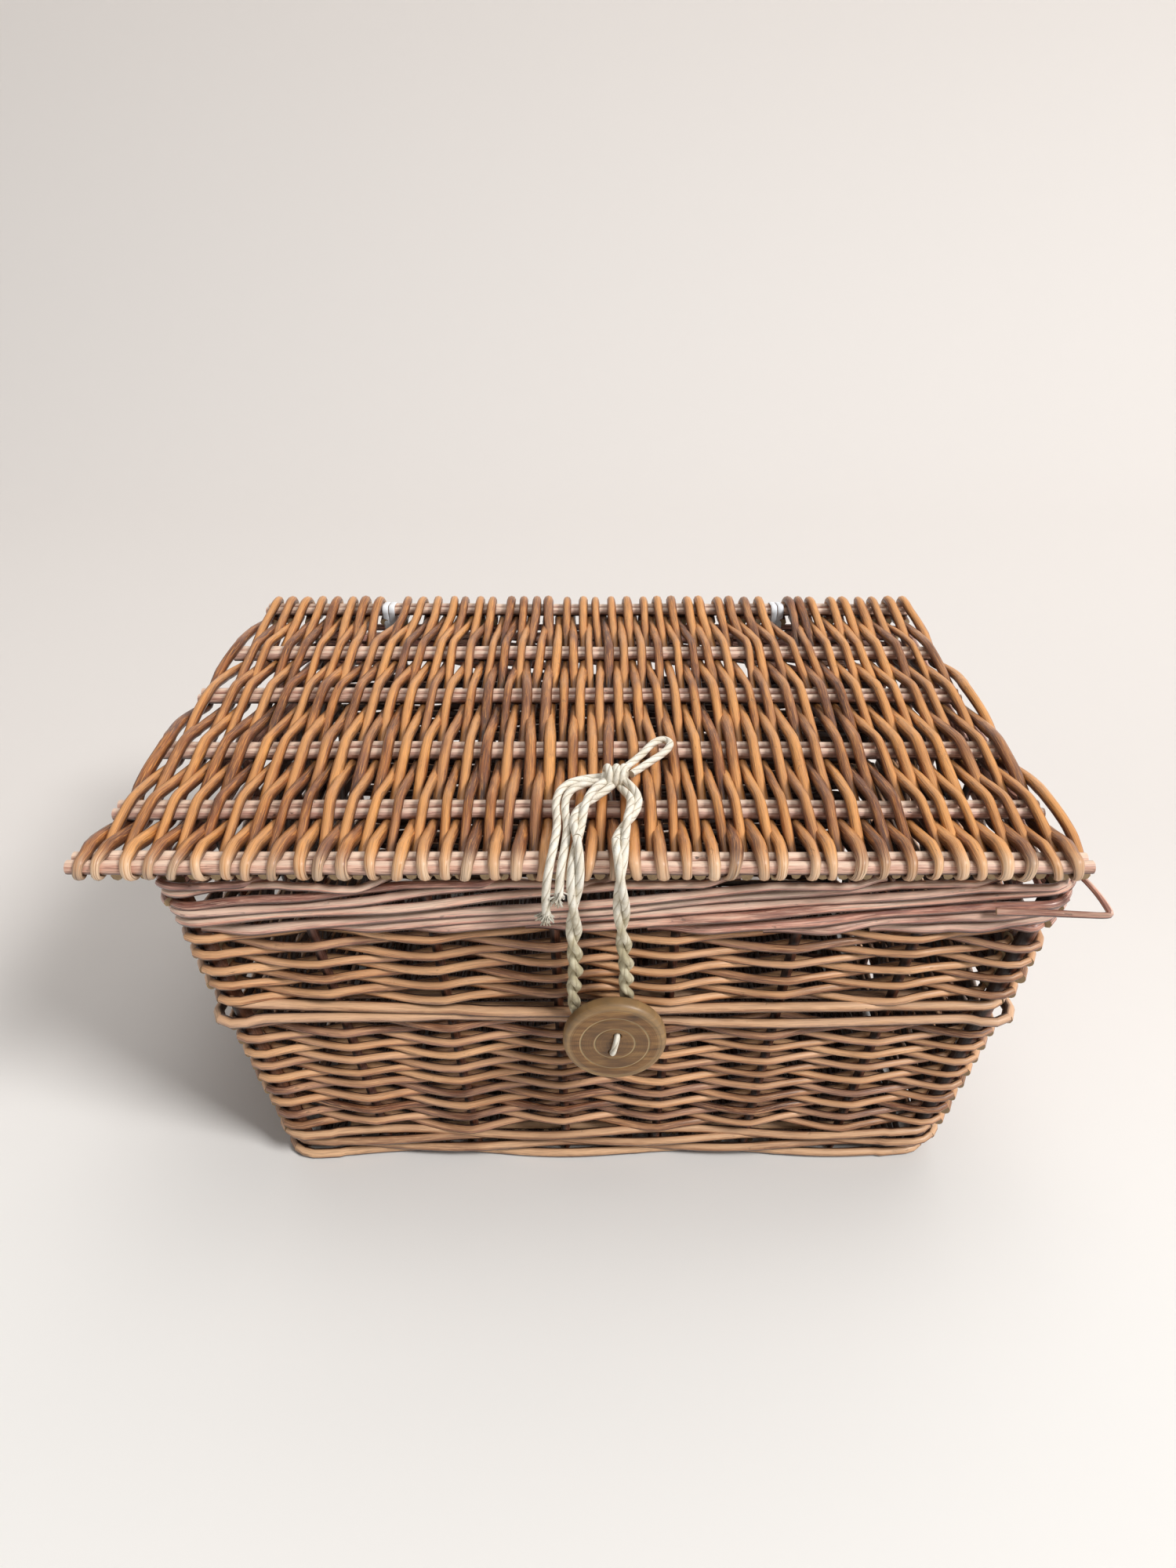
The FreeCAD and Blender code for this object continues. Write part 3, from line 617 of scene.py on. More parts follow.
LOOSE_ROD = [(0.172, -0.1580, 0.1985), (0.186, -0.1605, 0.2000), (0.205, -0.1660, 0.2030),
             (0.2155, -0.1712, 0.2062), (0.2160, -0.1705, 0.2075), (0.2125, -0.1600, 0.2120),
             (0.2085, -0.1440, 0.2130), (0.2060, -0.1300, 0.2110)]
line = route_line("loose_rod", LOOSE_ROD)[0]
lay_rods("loose_border_rod", None, line[None], np.linspace(0.0019, 0.0011, len(line)), (0, 0, 1),
         BORDER_WILLOW, [0.35], slot="border_willow")


# The base: thin rods laid in pairs from front to back and woven over and under five long sticks, which
# run from end to end inside the foot of the walls.
BASE_PAIRS = 39
BASE_PAIR_WIDTH = 0.0080
BASE_LEVEL = 0.00565
BASE_ROD_RADIUS = 0.0019
BASE_SWING = 0.0037
BASE_FIELD = 0.1707
BASE_END = 0.1192
BASE_STICK_END = 0.1752
stick_y = (FLOOR_DEPTH / 2 - WALL_HALF) * (2 * np.arange(1, 6) / 6 - 1)
chance = np.random.default_rng(31)
x = np.linspace(-BASE_STICK_END, BASE_STICK_END, 30)
sticks = np.stack(np.broadcast_arrays(x[None], stick_y[:, None], BASE_LEVEL), axis=-1)
lay_rods("base_long_sticks", "base_sticks", sticks, BASE_ROD_RADIUS, (0, 0, 1), STAKE_WILLOW,
         chance.random(5), slot="stake_willow")
y = np.linspace(-BASE_END, BASE_END, 72)
pair = np.repeat(np.arange(BASE_PAIRS), 2)[:, None]
beside = np.tile([-0.25, 0.25], BASE_PAIRS)[:, None] * BASE_PAIR_WIDTH
first_x = -BASE_FIELD + BASE_PAIR_WIDTH / 2
rod_x = first_x + 2 * -first_x * pair / (BASE_PAIRS - 1) + beside
before = 2 * stick_y[0] - stick_y[1]
beyond = 2 * stick_y[4] - stick_y[3]
step = np.interp(y, [before, *stick_y, beyond], np.arange(7))
level = BASE_LEVEL + BASE_SWING * zigzag(np.pi * (step[None] + 1 + pair), 0.95)
wander = rough_line(2 * BASE_PAIRS, 72, 0.00015, chance)
weave = np.stack(np.broadcast_arrays(rod_x + wander, y[None], level), axis=-1)
lay_rods("base_rods", "base_weave", weave, BASE_ROD_RADIUS, (1, 0, 0), WALE_WILLOW,
         chance.random(2 * BASE_PAIRS), slot="wall_willow")


# The lid's sticks: six pairs of thin pinkish sticks laid right across from left to right, with ends of
# uneven length. The outer pairs are its front and rear edges, and everything else in the lid is woven
# round them.
STICK_LEFT_ENDS = (-0.2415, -0.239, -0.237, -0.240, -0.238, -0.2385)
STICK_RIGHT_ENDS = (0.2085, 0.204, 0.2035, 0.2045, 0.2085, 0.2115)
LID_LEVEL = 0.2238
FRONT_STICK_Y = -0.1595
REAR_STICK_Y = 0.1595
STICK_STEP = 0.007
PAIR_SHARES = np.array((0.0, 0.143, 0.334, 0.548, 0.750, 1.0))
PAIR_NAMES = ("front", "second", "third", "fourth", "fifth", "rear")
STICK_RADIUS = 0.0030
FRONT_EDGE_GIRTH = 1.15
pair_y = FRONT_STICK_Y + STICK_STEP / 2 + (REAR_STICK_Y - FRONT_STICK_Y - STICK_STEP) * PAIR_SHARES
STICK_TONES = [(0.0, (0.34, 0.15, 0.10)), (0.4, (0.68, 0.37, 0.27)), (0.85, (0.95, 0.66, 0.50))]
STICK_WILLOW = willow("stick_willow", STICK_TONES, (0.30, 0.13, 0.09), (0.56, 0.29, 0.25), rough=0.32,
                      coat=0.25, speck=0.9, shaded_parts="under")
chance = np.random.default_rng(41)
for name, y, left_end, right_end in zip(PAIR_NAMES, pair_y, STICK_LEFT_ENDS, STICK_RIGHT_ENDS):
    x = np.linspace(left_end, right_end, 80)
    place = np.array([y - STICK_STEP / 2, y + STICK_STEP / 2])[:, None]
    place = place + rough_line(2, 80, 0.0002, chance, 14)
    level = LID_LEVEL + rough_line(2, 80, 0.0002, chance, 14)
    radii = knotted(2, 80, STICK_RADIUS, 0.08, chance)
    if name == "front":
        radii[0] *= FRONT_EDGE_GIRTH
    lines = np.stack(np.broadcast_arrays(x[None], place, level), axis=-1)
    lay_rods("lid_" + name + "_pair", "lid_" + name + "_sticks", lines, radii, (0, 0, 1), STICK_WILLOW,
             0.35 + 0.65 * chance.random(2), slot="stick_willow", sides=12, body="lid")


# The lid's rods: 84 of them, from front to back over one pair and under the next. A rod that is over an
# edge pair is folded round it, where its bark cracks pale; the others end below. The outermost bow out
# between the pairs, and a slot is left in the rear for each tie.
PASSES = 84
PASS_RADIUS = 0.0029
RISE = 0.0057
LID_LENGTH = 0.450
LID_LEFT = -0.239
LID_MARGIN = 0.0025
TIE_SLOT = 0.008
TIE_AFTER = (16, 67)
FRONT_FOLD = 0.0046
REAR_FOLD = 0.0029 + PASS_RADIUS + 0.0002
FOLD_LENGTH = 0.0095
CRACK_LENGTH = 0.0075
OUTER_BOW = 0.0030
LID_TONES = [(0.0, (0.025, 0.009, 0.005)), (0.34, (0.14, 0.038, 0.011)), (0.66, (0.40, 0.125, 0.023)),
             (0.92, (0.74, 0.33, 0.085))]
# The lid's rods: darker low and lighter high, partly soiling and wear, partly painted shade and light;
# painted shade on their undersides and both edges.
LID_WILLOW = willow("lid_willow", LID_TONES, (0.12, 0.040, 0.018), (0.20, 0.095, 0.070), rough=0.30,
                    coat=0.22, dirt_and_lit_heights=(LID_LEVEL - 0.005, LID_LEVEL + 0.005), shaded_parts="side")
index = np.arange(PASSES)
slots = (index[:, None] >= np.array(TIE_AFTER)[None]).sum(axis=1)
room = LID_LENGTH - 2 * LID_MARGIN - len(TIE_AFTER) * TIE_SLOT
pass_x = LID_LEFT + LID_MARGIN + room * index / (PASSES - 1) + slots * TIE_SLOT
even_x = np.linspace(pass_x[0], pass_x[-1], PASSES)


def lid_passes(rods, edge_y, sign, chance):
    """Rods that fold round one edge, all on one line: a tail, an arc round the edge stick, then a
    rounded zigzag over and under the pairs. They part in slots at the ties and come even again by the
    front."""
    reach = FRONT_FOLD if sign < 0 else REAR_FOLD
    turn = np.linspace(-0.75 * np.pi, 0.5 * np.pi, 18)
    hook_y = edge_y + sign * reach * np.cos(turn)
    hook_z = LID_LEVEL + reach * np.sin(turn)
    run_y = np.linspace(edge_y, -edge_y + sign * 0.002, 86)[1:]
    pairs_passed = np.interp(run_y, pair_y, np.arange(6))
    from_edge = np.abs(run_y - edge_y)
    wave = zigzag(np.pi * (pairs_passed + (sign > 0)), 0.98)
    run_z = LID_LEVEL + np.where(from_edge < STICK_STEP, reach, RISE * wave)
    blend_in = np.clip((from_edge - STICK_STEP) / 0.006, 0, 1)
    run_z = LID_LEVEL + reach * (1 - blend_in) + blend_in * (run_z - LID_LEVEL)
    tail = np.array([[edge_y - sign * 0.011, LID_LEVEL - reach - 0.0004]])
    line = np.concatenate([tail, np.stack([hook_y, hook_z], 1), np.stack([run_y, run_z], 1)])
    count = len(rods)
    gone = metres_along(line)
    at_ties = np.clip((line[:, 0] - 0.085) / 0.05, 0, 1)[None]
    base_x = even_x[rods][:, None] + (pass_x - even_x)[rods][:, None] * at_ties
    lean = chance.normal(-0.0008, 0.0017, (count, 1)) * np.exp(-(gone / 0.024) ** 2)
    x = base_x + lean + rough_line(count, len(line), 0.0011, chance, 6)
    between = np.sin(np.pi * (np.interp(line[:, 0], pair_y, np.arange(6))[None] % 1)) ** 1.2
    bow = np.exp(-(base_x - pass_x[0]) / 0.006) - np.exp(-(pass_x[-1] - base_x) / 0.006)
    x = x - OUTER_BOW * bow * (between - 0.35)
    z = np.broadcast_to(line[:, 1], x.shape) + rough_line(count, len(line), 0.0002, chance, 16)
    y = np.broadcast_to(line[:, 0], x.shape)
    radii = knotted(count, len(line), PASS_RADIUS, 0.24, chance, 9)
    radii = radii * (1 + rough_line(count, len(line), 0.05, chance, 14))
    fold = np.exp(-((gone - gone[9]) / FOLD_LENGTH) ** 2)[None]
    radii = radii * (1 - 0.49 * fold) * (1 + 0.13 * fold * chance.normal(0, 1, (count, 1)))
    cracked = np.exp(-((gone - gone[11]) / CRACK_LENGTH) ** 2)[None]
    cracked = cracked * (0.45 + 0.55 * chance.random((count, 1)))
    return np.stack([x, y, z], -1), radii, cracked, 1 / (1 - 0.46 * fold)


chance = np.random.default_rng(61)
for name, node, rods, edge, sign in (
    ("lid_rods_folded_in_front", "lid_rods_over_front", index[0::2], FRONT_STICK_Y, -1),
    ("lid_rods_folded_behind", "lid_rods_under_front", index[1::2], REAR_STICK_Y, 1),
):
    lines, radii, cracked, flat = lid_passes(rods, edge, sign, chance)
    lay_rods(name, node, lines, radii, (-sign, 0, 0), LID_WILLOW, chance.random(len(rods)),
             slot="lid_willow", pale=cracked, flat=flat, body="lid")


# The hinge ties: two turns each of flat white cord, pulled tight over the rear sticks and under the
# rear top rod. A turn's line is the outline of three rounds: one on each stick and one under the rod.
TIE_HALF_WIDTH = 0.0021
TIE_HALF_THICKNESS = 0.0005
TIE_TURN_GAP = 0.0004
TIE_REACH = 0.0034
TIE_ROUNDS = np.array([(REAR_STICK_Y, LID_LEVEL), (REAR_STICK_Y - STICK_STEP - 0.0012, LID_LEVEL + 0.0012),
                       (0.1550, 0.2065)])
f = Finish("tie_cord")
fibre = f.noise(f.scaled(f.rod_place(), (220.0, 14.0, 1.0)), 1.0, 3)
TIE_CORD = f.surface(f.mix(fibre, (0.82, 0.87, 0.93), (0.96, 0.97, 0.98)), 0.5, fibre, 0.0002)
angle = np.linspace(0, 2 * np.pi, 72, endpoint=False)
normal = np.stack([np.cos(angle), np.sin(angle)], -1)
furthest = (TIE_ROUNDS @ normal.T).argmax(axis=0)
loop = TIE_ROUNDS[furthest] + (TIE_REACH + TIE_HALF_THICKNESS) * normal
for name, before in (("left", TIE_AFTER[0]), ("right", TIE_AFTER[1])):
    middle = (pass_x[before - 1] + pass_x[before]) / 2
    shift = (TIE_TURN_GAP / 2 + TIE_HALF_WIDTH) * np.interp(loop[:, 1], (0.203, 0.222), (0.6, 1.0))
    lines = np.stack([np.stack([middle + k * shift, loop[:, 0], loop[:, 1]], -1) for k in (-1, 1)])
    lay_rods("tie_" + name, "hinge_tie_" + name, lines, math.sqrt(TIE_HALF_WIDTH * TIE_HALF_THICKNESS),
             (1, 0, 0), TIE_CORD, [0.3, 0.7], slot="tie_twine", sides=12,
             flat=TIE_HALF_WIDTH / TIE_HALF_THICKNESS, closed=True, body="lid")


# The button: a disc turned from brown wood, bevelled at the rim, with two fine turned lines and two
# holes. It hangs on a cord that is stitched through it and knotted behind the wall.
BUTTON_RADIUS = 0.0253
BUTTON_LEVEL = 0.1223
BUTTON_LEAN = math.radians(2.0)
BUTTON_LINES = (0.0168, 0.0098)
BUTTON_HOLES = ((-0.0012, -0.0055), (0.0012, 0.0055))
HOLE_RADIUS = 0.0017
HOLE_DEPTH = 0.004
SPOKES = 144
low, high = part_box("button")
button_front, button_back = low.y, high.y
f = Finish("button_wood")
spun = f.node("ShaderNodeMapping", {}, [f.place(), (0.0, 0.0, -BUTTON_LEVEL)])
across, _, up = f.numbers(spun)
ring = (across * across + up * up) ** 0.5
grain = f.noise(f.scaled(spun, (60.0, 30.0, 420.0)), 1.0, 4)
turned = f.noise(f.vector(ring * 2600, 0.0, 0.0), 1.0, 2)
soft = f.noise(spun, 90, 2)
BUTTON_TONES = [(0.36, (0.055, 0.024, 0.007)), (0.5, (0.20, 0.092, 0.026)), (0.62, (0.36, 0.195, 0.062))]
wood = f.ramp(grain * 0.45 + turned * 0.35 + soft * 0.2, BUTTON_TONES)
lines = 0.0
for radius in BUTTON_LINES:
    lines = (1 - f.fade(f.maths("ABSOLUTE", ring - radius), 0.00022, 0.00055)) + lines
wood = f.mix((1 - f.fade(ring, 0.0160, 0.0172)) * 0.3, wood, (0.11, 0.060, 0.022))
wood = f.mix(f.fade(ring, 0.0205, 0.0225) * 0.35, wood, (0.50, 0.35, 0.18))
wood = f.mix(lines * 0.7, wood, (0.58, 0.44, 0.24))
BUTTON_WOOD = f.surface(wood, 0.42 + turned * 0.12, turned * 0.5 + grain * 0.4, 0.0002, 0.1)


def leaning(points):
    """Points of the button and its stitch, leant so that the top comes forward: turned about the middle
    of the back, to back cos - up sin and back sin + up cos."""
    back = points[:, 1] - button_back
    up = points[:, 2] - BUTTON_LEVEL
    c, s = math.cos(BUTTON_LEAN), math.sin(BUTTON_LEAN)
    return np.stack([points[:, 0], button_back + back * c - up * s, BUTTON_LEVEL + back * s + up * c], -1)


# The disc is a profile, as shares of the radius and depths behind the front, turned round the middle.
# Two grooves on the face are the lines, and each hole is a steep round dip.
depth = button_back - button_front
profile = np.array([(0.0, depth), (0.3, depth), (0.6, depth), (0.9, depth), (0.975, depth - 0.0003),
                    (0.995, depth - 0.0012), (1.0, depth - 0.0030), (1.0, 0.0034), (0.992, 0.0024),
                    (0.972, 0.0014), (0.935, 0.0006), (0.90, 0.0003)])
inner = np.linspace(0.885, 0.0, 96)
rings = np.concatenate([profile[:, 0], inner]) * BUTTON_RADIUS
face = 0.00015 + 0.0004 * np.exp(-((inner - 0.9) / 0.06) ** 2)
for radius in BUTTON_LINES:
    face = face + 0.0005 * np.exp(-((inner * BUTTON_RADIUS - radius) / 0.00030) ** 2)
spin = np.linspace(0, 2 * np.pi, SPOKES, endpoint=False)
ring_x = rings[:, None] * np.cos(spin)
ring_z = rings[:, None] * np.sin(spin)
deep = np.broadcast_to(np.concatenate([profile[:, 1], face])[:, None], ring_x.shape)
on_face = (np.arange(len(rings)) >= len(profile))[:, None]
for hole_x, hole_z in BUTTON_HOLES:
    from_hole = np.hypot(ring_x - hole_x, ring_z - hole_z)
    deep = deep + on_face * HOLE_DEPTH / (1 + np.exp((from_hole - HOLE_RADIUS) / 0.00012))
points = np.stack([ring_x, button_front + deep, BUTTON_LEVEL + ring_z], -1)[1:-1].reshape(-1, 3)
middles = [(0, button_back, BUTTON_LEVEL), (0, button_front + 0.0002, BUTTON_LEVEL)]
points = leaning(np.concatenate([points, middles]))
count = len(rings) - 2
k = np.arange(SPOKES)
n = (k + 1) % SPOKES
i = np.arange(count - 1)[:, None] * SPOKES
quads = np.stack(np.broadcast_arrays(i + k, i + SPOKES + k, i + SPOKES + n, i + n), -1).reshape(-1, 4)
last = (count - 1) * SPOKES
fan_back = np.stack([np.full(SPOKES, len(points) - 2), k, n], -1)
fan_front = np.stack([np.full(SPOKES, len(points) - 1), last + n, last + k], -1)
mesh = bpy.data.meshes.new("button_disc")
mesh.from_pydata(points.tolist(), [], quads.tolist() + fan_back.tolist() + fan_front.tolist())
mesh.polygons.foreach_set("use_smooth", np.ones(len(mesh.polygons), bool))
mesh.materials.append(BUTTON_WOOD)
disc = add_object("button_disc", mesh)
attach(disc, "button")
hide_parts("button")


# The string: soft cotton cord, twisted from three yarns and greyed by use below the rim. Two strands of
# it run together from a knot on the lid over its front edge and round behind the button; two tails hang
# over the edge beside them, and a small end loop lies on the lid.
STRAND_RADIUS = 0.0019
TWIST_RADIUS = 0.0016
TAIL_DIAMETER = 0.0038
LOOSE_TURN = 0.075
TIGHT_TURN = 0.025
PLY_LENGTH = 0.0085
f = Finish("cotton_cord")
along, around, _ = f.numbers(f.rod_place())
wind = along * (2 * math.pi / PLY_LENGTH) + around * (6 * math.pi)
rib = f.maths("ABSOLUTE", f.maths("SINE", wind * 0.5))
place = f.place()
fluff = f.noise(place, 1500, 3)
dirt_and_shade = f.noise(place, 160, 3)
level = f.numbers(place)[2]
used = f.fade(dirt_and_shade * 0.05 - level, -0.200, -0.150) * f.fade(level, 0.1285, 0.1295)
clean = f.mix(f.fade(dirt_and_shade, 0.35, 0.7), (0.93, 0.89, 0.79), (0.80, 0.73, 0.60))
grey = f.mix(f.fade(dirt_and_shade, 0.35, 0.6), (0.66, 0.60, 0.43), (0.48, 0.42, 0.27))
colour = f.mix(used, clean, grey)
# Painted shade in the grooves between the yarns: the cord is darkened where the rib is low.
colour = f.mix((1 - f.fade(rib, 0.0, 0.45)) * 0.6, colour, (0.38, 0.30, 0.18))
colour = f.mix(f.fade(fluff, 0.55, 0.75) * 0.3, colour, (0.30, 0.24, 0.15))
COTTON = f.surface(colour, 0.85, rib * 0.8 + fluff * 0.5, 0.0006)


def facing_out(line, sign=-1):
    """The way out from what the string lies on: square to its run over the lid's edge, and forward on
    the wall. `sign` is -1 where the line runs forward and 1 where it runs back."""
    direction = unit(np.gradient(line, axis=0))
    over = np.cross((1, 0, 0), direction) * np.broadcast_to(sign, len(line))[:, None]
    over /= np.maximum(np.linalg.norm(over, axis=1, keepdims=True), 1e-6)
    share = np.clip((line[:, 2] - 0.190) / 0.02, 0, 1)[:, None]
    return over * share + np.array((0, -1, 0)) * (1 - share)


def lay_string(name, node, lines, radius, across, tones, body="lid", sides=12, closed=False):
    """Cotton cords as one mesh."""
    return lay_rods(name, node, lines, radius, across, COTTON, tones, "twine", sides, closed=closed,
                    body=body)


def twisted_leg(name, node, line, out, start, body):
    """Two strands wound round the leg's line: line + r (cos w side + sin w lift), half a turn apart,
    where w grows by a turn every LOOSE_TURN on the lid and every TIGHT_TURN near the button, and r is
    TWIST_RADIUS, less behind the button and more on the lid. Gives back the last w too."""
    direction = unit(np.gradient(line, axis=0))
    side = unit(np.cross(direction, out))
    lift = np.cross(side, direction)
    pace = np.interp(line[1:, 2], (0.165, 0.205), (1 / TIGHT_TURN, 1 / LOOSE_TURN))
    wound = np.cumsum(pace * np.linalg.norm(np.diff(line, axis=0), axis=1))
    w = (start + 2 * np.pi * np.concatenate([[0], wound]))[:, None]
    spread = (TWIST_RADIUS * np.interp(line[:, 2], (0.132, 0.148, 0.225), (0.55, 1.14, 1.22)))[:, None]
    strands = np.stack([line + spread * (np.cos(w + p) * side + np.sin(w + p) * lift) for p in (0, np.pi)])
    return lay_string(name, node, strands, STRAND_RADIUS, out[None], [0.2, 0.8], body), float(w[-1, 0])


LEFT_LEG = [(-0.003, -0.108, 0.2366), (-0.010, -0.117, 0.2366), (-0.016, -0.129, 0.2366),
            (-0.018, -0.143, 0.2366), (-0.018, -0.157, 0.2366)]
RIGHT_LEG = [(0.003, -0.108, 0.2366), (0.009, -0.118, 0.2366), (0.008, -0.131, 0.2366),
             (0.003, -0.144, 0.2366), (0.001, -0.157, 0.2366)]
HANGING_LEGS = [(-0.018, -0.1579, 0.2367), (-0.018, -0.1678, 0.2348), (-0.0185, -0.1726, 0.2255),
                (-0.019, -0.1698, 0.212), (-0.0195, -0.1632, 0.187), (-0.0185, -0.1574, 0.164),
                (-0.020, -0.1527, 0.147), (-0.0195, -0.1508, 0.131), (-0.0155, -0.1496, 0.118),
                (-0.007, -0.1492, 0.1105), (0.002, -0.1493, 0.111), (0.008, -0.1502, 0.119),
                (0.0085, -0.1510, 0.131), (0.005, -0.1527, 0.147), (0.0055, -0.1574, 0.164),
                (0.003, -0.1632, 0.187), (0.0015, -0.1698, 0.212), (0.001, -0.1726, 0.2255),
                (0.001, -0.1678, 0.2348), (0.001, -0.1579, 0.2367)]
left_line, left_length = route_line("left_leg", LEFT_LEG)
right_line, right_length = route_line("right_leg", RIGHT_LEG)
hang_line, hang_length = route_line("hanging_legs", HANGING_LEGS)
to_edge = np.array([(0, -0.0007, 0)])
left_line = np.concatenate([left_line, left_line[-1:] + to_edge])
right_line = np.concatenate([right_line, right_line[-1:] + to_edge])
out = facing_out(left_line)
left_leg, w = twisted_leg("string_left_leg", "string_left_on_lid", left_line, out, 0.3, "lid")
out = facing_out(hang_line, np.where(np.arange(len(hang_line)) < len(hang_line) / 2, -1, 1))
hanging, w = twisted_leg("string_hanging_loop", "string_loop", hang_line, out, w, "string_loop")
out = facing_out(right_line)
start = np.pi - w - 2 * np.pi * right_length / LOOSE_TURN
right_leg, w = twisted_leg("string_right_leg", "string_right_on_lid", right_line, out, start, "lid")

NEAR_TAIL = [(-0.005, -0.104, 0.2355), (-0.015, -0.106, 0.2355), (-0.0225, -0.114, 0.2355),
             (-0.024, -0.128, 0.2355), (-0.022, -0.144, 0.2355), (-0.023, -0.160, 0.2349),
             (-0.025, -0.1715, 0.2300), (-0.0255, -0.174, 0.2185)]
FAR_TAIL = [(-0.005, -0.100, 0.2355), (-0.016, -0.1015, 0.2355), (-0.0255, -0.109, 0.2355),
            (-0.0285, -0.124, 0.2355), (-0.0265, -0.142, 0.2355), (-0.028, -0.160, 0.2349),
            (-0.030, -0.1715, 0.2300), (-0.0315, -0.174, 0.2175), (-0.031, -0.173, 0.2075)]
END_LOOP = [(0.0018, -0.098, 0.2355), (0.0065, -0.089, 0.2355), (0.014, -0.078, 0.2355),
            (0.0195, -0.066, 0.2355), (0.0255, -0.0605, 0.2355), (0.030, -0.065, 0.2355),
            (0.0265, -0.0745, 0.2355), (0.017, -0.086, 0.2355), (0.008, -0.0975, 0.2355)]
HAIRS = 46
HAIR_RADIUS = 0.00036
chance = np.random.default_rng(71)
for name, node, points in (
    ("string_near_tail", "string_tails", NEAR_TAIL),
    ("string_far_tail", "string_tails", FAR_TAIL),
    ("string_small_loop", "string_end_loop", END_LOOP),
):
    line, length = route_line(name, points)
    is_loop = "loop" in name
    out = np.broadcast_to((0, 0, 1), line.shape) if is_loop else facing_out(line)
    cord = lay_string(name, node, line[None], TAIL_DIAMETER / 2, out[None], [0.5])
    if not is_loop:
        fly = chance.normal(0, 1, (HAIRS, 3)) * (0.0016, 0.0008, 0.0010) + (-0.0008, -0.0002, -0.0038)
        curl = chance.normal(0, 1, (HAIRS, 3)) * (0.0014, 0.0007, 0.0012)
        share = np.linspace(0, 1, 10)[None, :, None]
        start = line[-1] + chance.normal(0, 1, (HAIRS, 1, 3)) * 0.0007 + (0, 0, 0.002)
        hairs = start + fly[:, None] * share + curl[:, None] * share ** 2
        lay_string(name + "_frayed_end", None, hairs, HAIR_RADIUS, (0, 1, 0), chance.random(HAIRS), sides=5)

# The knot on the lid: three turns of the cord round a short thick core.
KNOT_Y = -0.1030
KNOT_LEVEL = 0.2378
KNOT_HALF = 0.0062
KNOT_CORE_RADIUS = 0.0028
turn = np.linspace(0, 2 * np.pi, 40, endpoint=False)
wraps = []
for k in (-1.2, 0.05, 1.25):
    x = k * 0.0029 + 0.0007 * np.sin(turn + k)
    wraps.append(np.stack([x, KNOT_Y + 0.0052 * np.cos(turn), KNOT_LEVEL + 0.0037 * np.sin(turn)], -1))
lay_string("string_knot_wraps", "string_knot", np.stack(wraps), STRAND_RADIUS, (1, 0, 0), [0.1, 0.6, 0.3],
           closed=True)
x = np.linspace(-KNOT_HALF, KNOT_HALF, 24)
core = np.stack([x, KNOT_Y + 0.001 * np.sin(x * 360), np.full(24, KNOT_LEVEL - 0.0004)], -1)
lay_string("string_knot_core", None, core[None], KNOT_CORE_RADIUS, (0, 0, 1), [0.3])

# The button's cord: a stitch from hole to hole over the face, a straight shank through the wall and a
# ring of cord knotted behind it.
STITCH_RADIUS = 0.00145
SHANK_RADIUS = 0.0015
SHANK_KNOT_RADIUS = 0.0022
SHANK_KNOT_CORD = 0.0017
(low_x, low_z), (high_x, high_z) = BUTTON_HOLES
front = button_front - 0.0012
STITCH = np.array([(low_x, front + 0.006, BUTTON_LEVEL + low_z),
                   (low_x, front + 0.001, BUTTON_LEVEL + low_z - 0.0004),
                   (low_x * 0.6, front - 0.0003, BUTTON_LEVEL + low_z * 0.7),
                   (0, front - 0.0005, BUTTON_LEVEL),
                   (high_x * 0.6, front - 0.0003, BUTTON_LEVEL + high_z * 0.7),
                   (high_x, front + 0.001, BUTTON_LEVEL + high_z + 0.0004),
                   (high_x, front + 0.006, BUTTON_LEVEL + high_z)])
line = route_line("button_stitch_line", [tuple(p) for p in leaning(STITCH)], 0.0004)[0]
lay_string("button_stitch_cord", "button_stitch", line[None], STITCH_RADIUS, (1, 0, 0), [0.4], "button")
low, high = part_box("button_shank_cord")
y = low.y + (high.y - 0.005 - low.y) * np.linspace(0, 1, 20)
line = np.stack(np.broadcast_arrays(0.0, y, BUTTON_LEVEL), -1)
lay_string("button_shank", "button_shank_cord", line[None], SHANK_RADIUS, (1, 0, 0), [0.4], "basket")
turn = np.linspace(0, 2 * np.pi, 32, endpoint=False)
knot = np.stack([SHANK_KNOT_RADIUS * np.cos(turn), high.y - 0.0028 + 0.0007 * np.sin(2 * turn),
                 BUTTON_LEVEL + SHANK_KNOT_RADIUS * np.sin(turn)], -1)
lay_string("button_shank_knot", None, knot[None], SHANK_KNOT_CORD, (0, 1, 0), [0.4], "basket", closed=True)


# The studio: pale floor and backdrop in one sweep, a broad lamp high on the right, a weak one overhead
# and the world's even light. The camera stands where the photograph was taken from, in front and above.
FLOOR_TONE = (0.93, 0.915, 0.895)
BACKDROP_TONE = (0.80, 0.765, 0.74)
CAMERA_DIP = 30.4
SWEEP_FRONT = -6.0
SWEEP_BACK = 2.0
SWEEP_HALF_WIDTH = 7.0
SWEEP_TOP = 5.0
SWEEP_BEND = 0.8
WORLD_TONE = (1.0, 0.985, 0.96, 1)
WORLD_LIGHT = 0.20
WORLD_SEEN = 0.75
LAMP_AIM = np.array((0.0, 0.0, 0.12))
LAMP_TONE = (1.0, 0.99, 0.975)
scene = bpy.context.scene
camera_data = bpy.data.cameras.new("camera")
camera = add_object("camera", camera_data)
camera_data.lens = 23.4
camera_data.sensor_width = 36
camera.location = (-0.013, -0.527, 0.482)
camera.rotation_euler = (math.radians(90 - CAMERA_DIP), 0, 0)
scene.camera = camera
scene.view_settings.view_transform = "Standard"

f = Finish("sweep")
deep = f.numbers(f.place())[1]
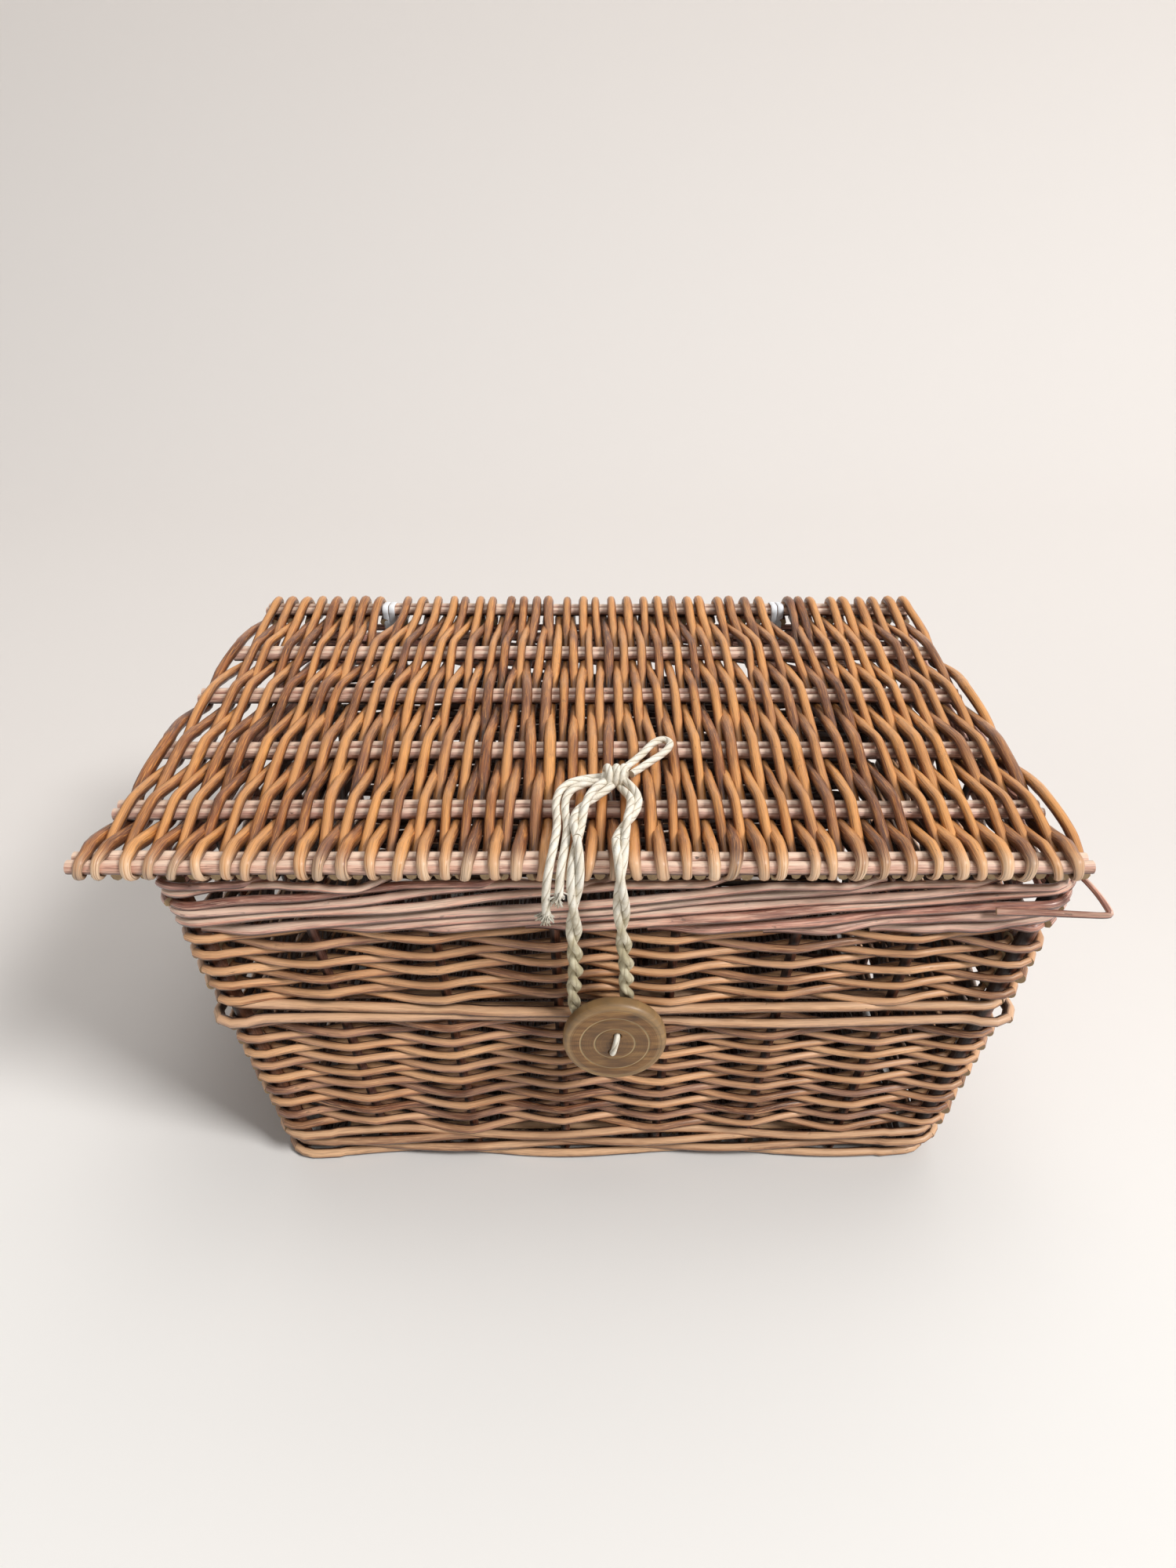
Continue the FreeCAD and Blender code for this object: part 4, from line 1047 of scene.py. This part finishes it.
# The backdrop's tone is darker than the floor's, fading in from front to back: painted shade for less light
# at the back of the studio.
SWEEP = f.surface(f.mix(f.fade(deep, -0.35, 0.30), FLOOR_TONE, BACKDROP_TONE), 0.95)
f.shader.inputs["Specular IOR Level"].default_value = 0.1
bend = [(SWEEP_BACK - SWEEP_BEND + SWEEP_BEND * math.sin(a), SWEEP_BEND - SWEEP_BEND * math.cos(a))
        for a in np.linspace(0, math.pi / 2, 24)]
profile = [(SWEEP_FRONT, 0.0), *bend, (SWEEP_BACK, SWEEP_TOP)]
rows = len(profile)
points = [(x, y, z) for x in (-SWEEP_HALF_WIDTH, SWEEP_HALF_WIDTH) for y, z in profile]
mesh = bpy.data.meshes.new("studio_sweep")
mesh.from_pydata(points, [], [(i, rows + i, rows + i + 1, i + 1) for i in range(rows - 1)])
mesh.materials.append(SWEEP)
mesh.polygons.foreach_set("use_smooth", np.ones(len(mesh.polygons), bool))
sweep = add_object("studio_sweep", mesh)

# The world lights the basket weakly, and looks brighter to the camera and in reflections.
world = bpy.data.worlds.new("studio")
scene.world = world
f = Finish("studio", world)
seen = f.node("ShaderNodeLightPath", out="Is Camera Ray")
for kind in ("Is Glossy Ray", "Is Transmission Ray"):
    seen = f.maths("MAXIMUM", seen, f.node("ShaderNodeLightPath", out=kind))
strength = f.node("ShaderNodeMapRange", {}, {"Value": seen, "To Min": WORLD_LIGHT, "To Max": WORLD_SEEN})
f.feed(f.shader.inputs["Strength"], strength)
f.feed(f.shader.inputs["Color"], WORLD_TONE)


def lamp(name, place, size, power):
    """A square lamp that faces the basket: tipped from straight down, then turned round."""
    data = bpy.data.lights.new(name, "AREA")
    data.size = size
    data.energy = power
    data.color = LAMP_TONE
    aim = LAMP_AIM - np.array(place)
    flat = math.hypot(aim[0], aim[1])
    item = add_object(name, data)
    item.location = place
    item.rotation_euler = (math.atan2(flat, -aim[2]), 0, math.atan2(aim[1], aim[0]) - math.pi / 2)


lamp("window", (4.8, -3.2, 5.6), 2.2, 500)
lamp("overhead", (0.2, 0.2, 4.0), 2.0, 30)
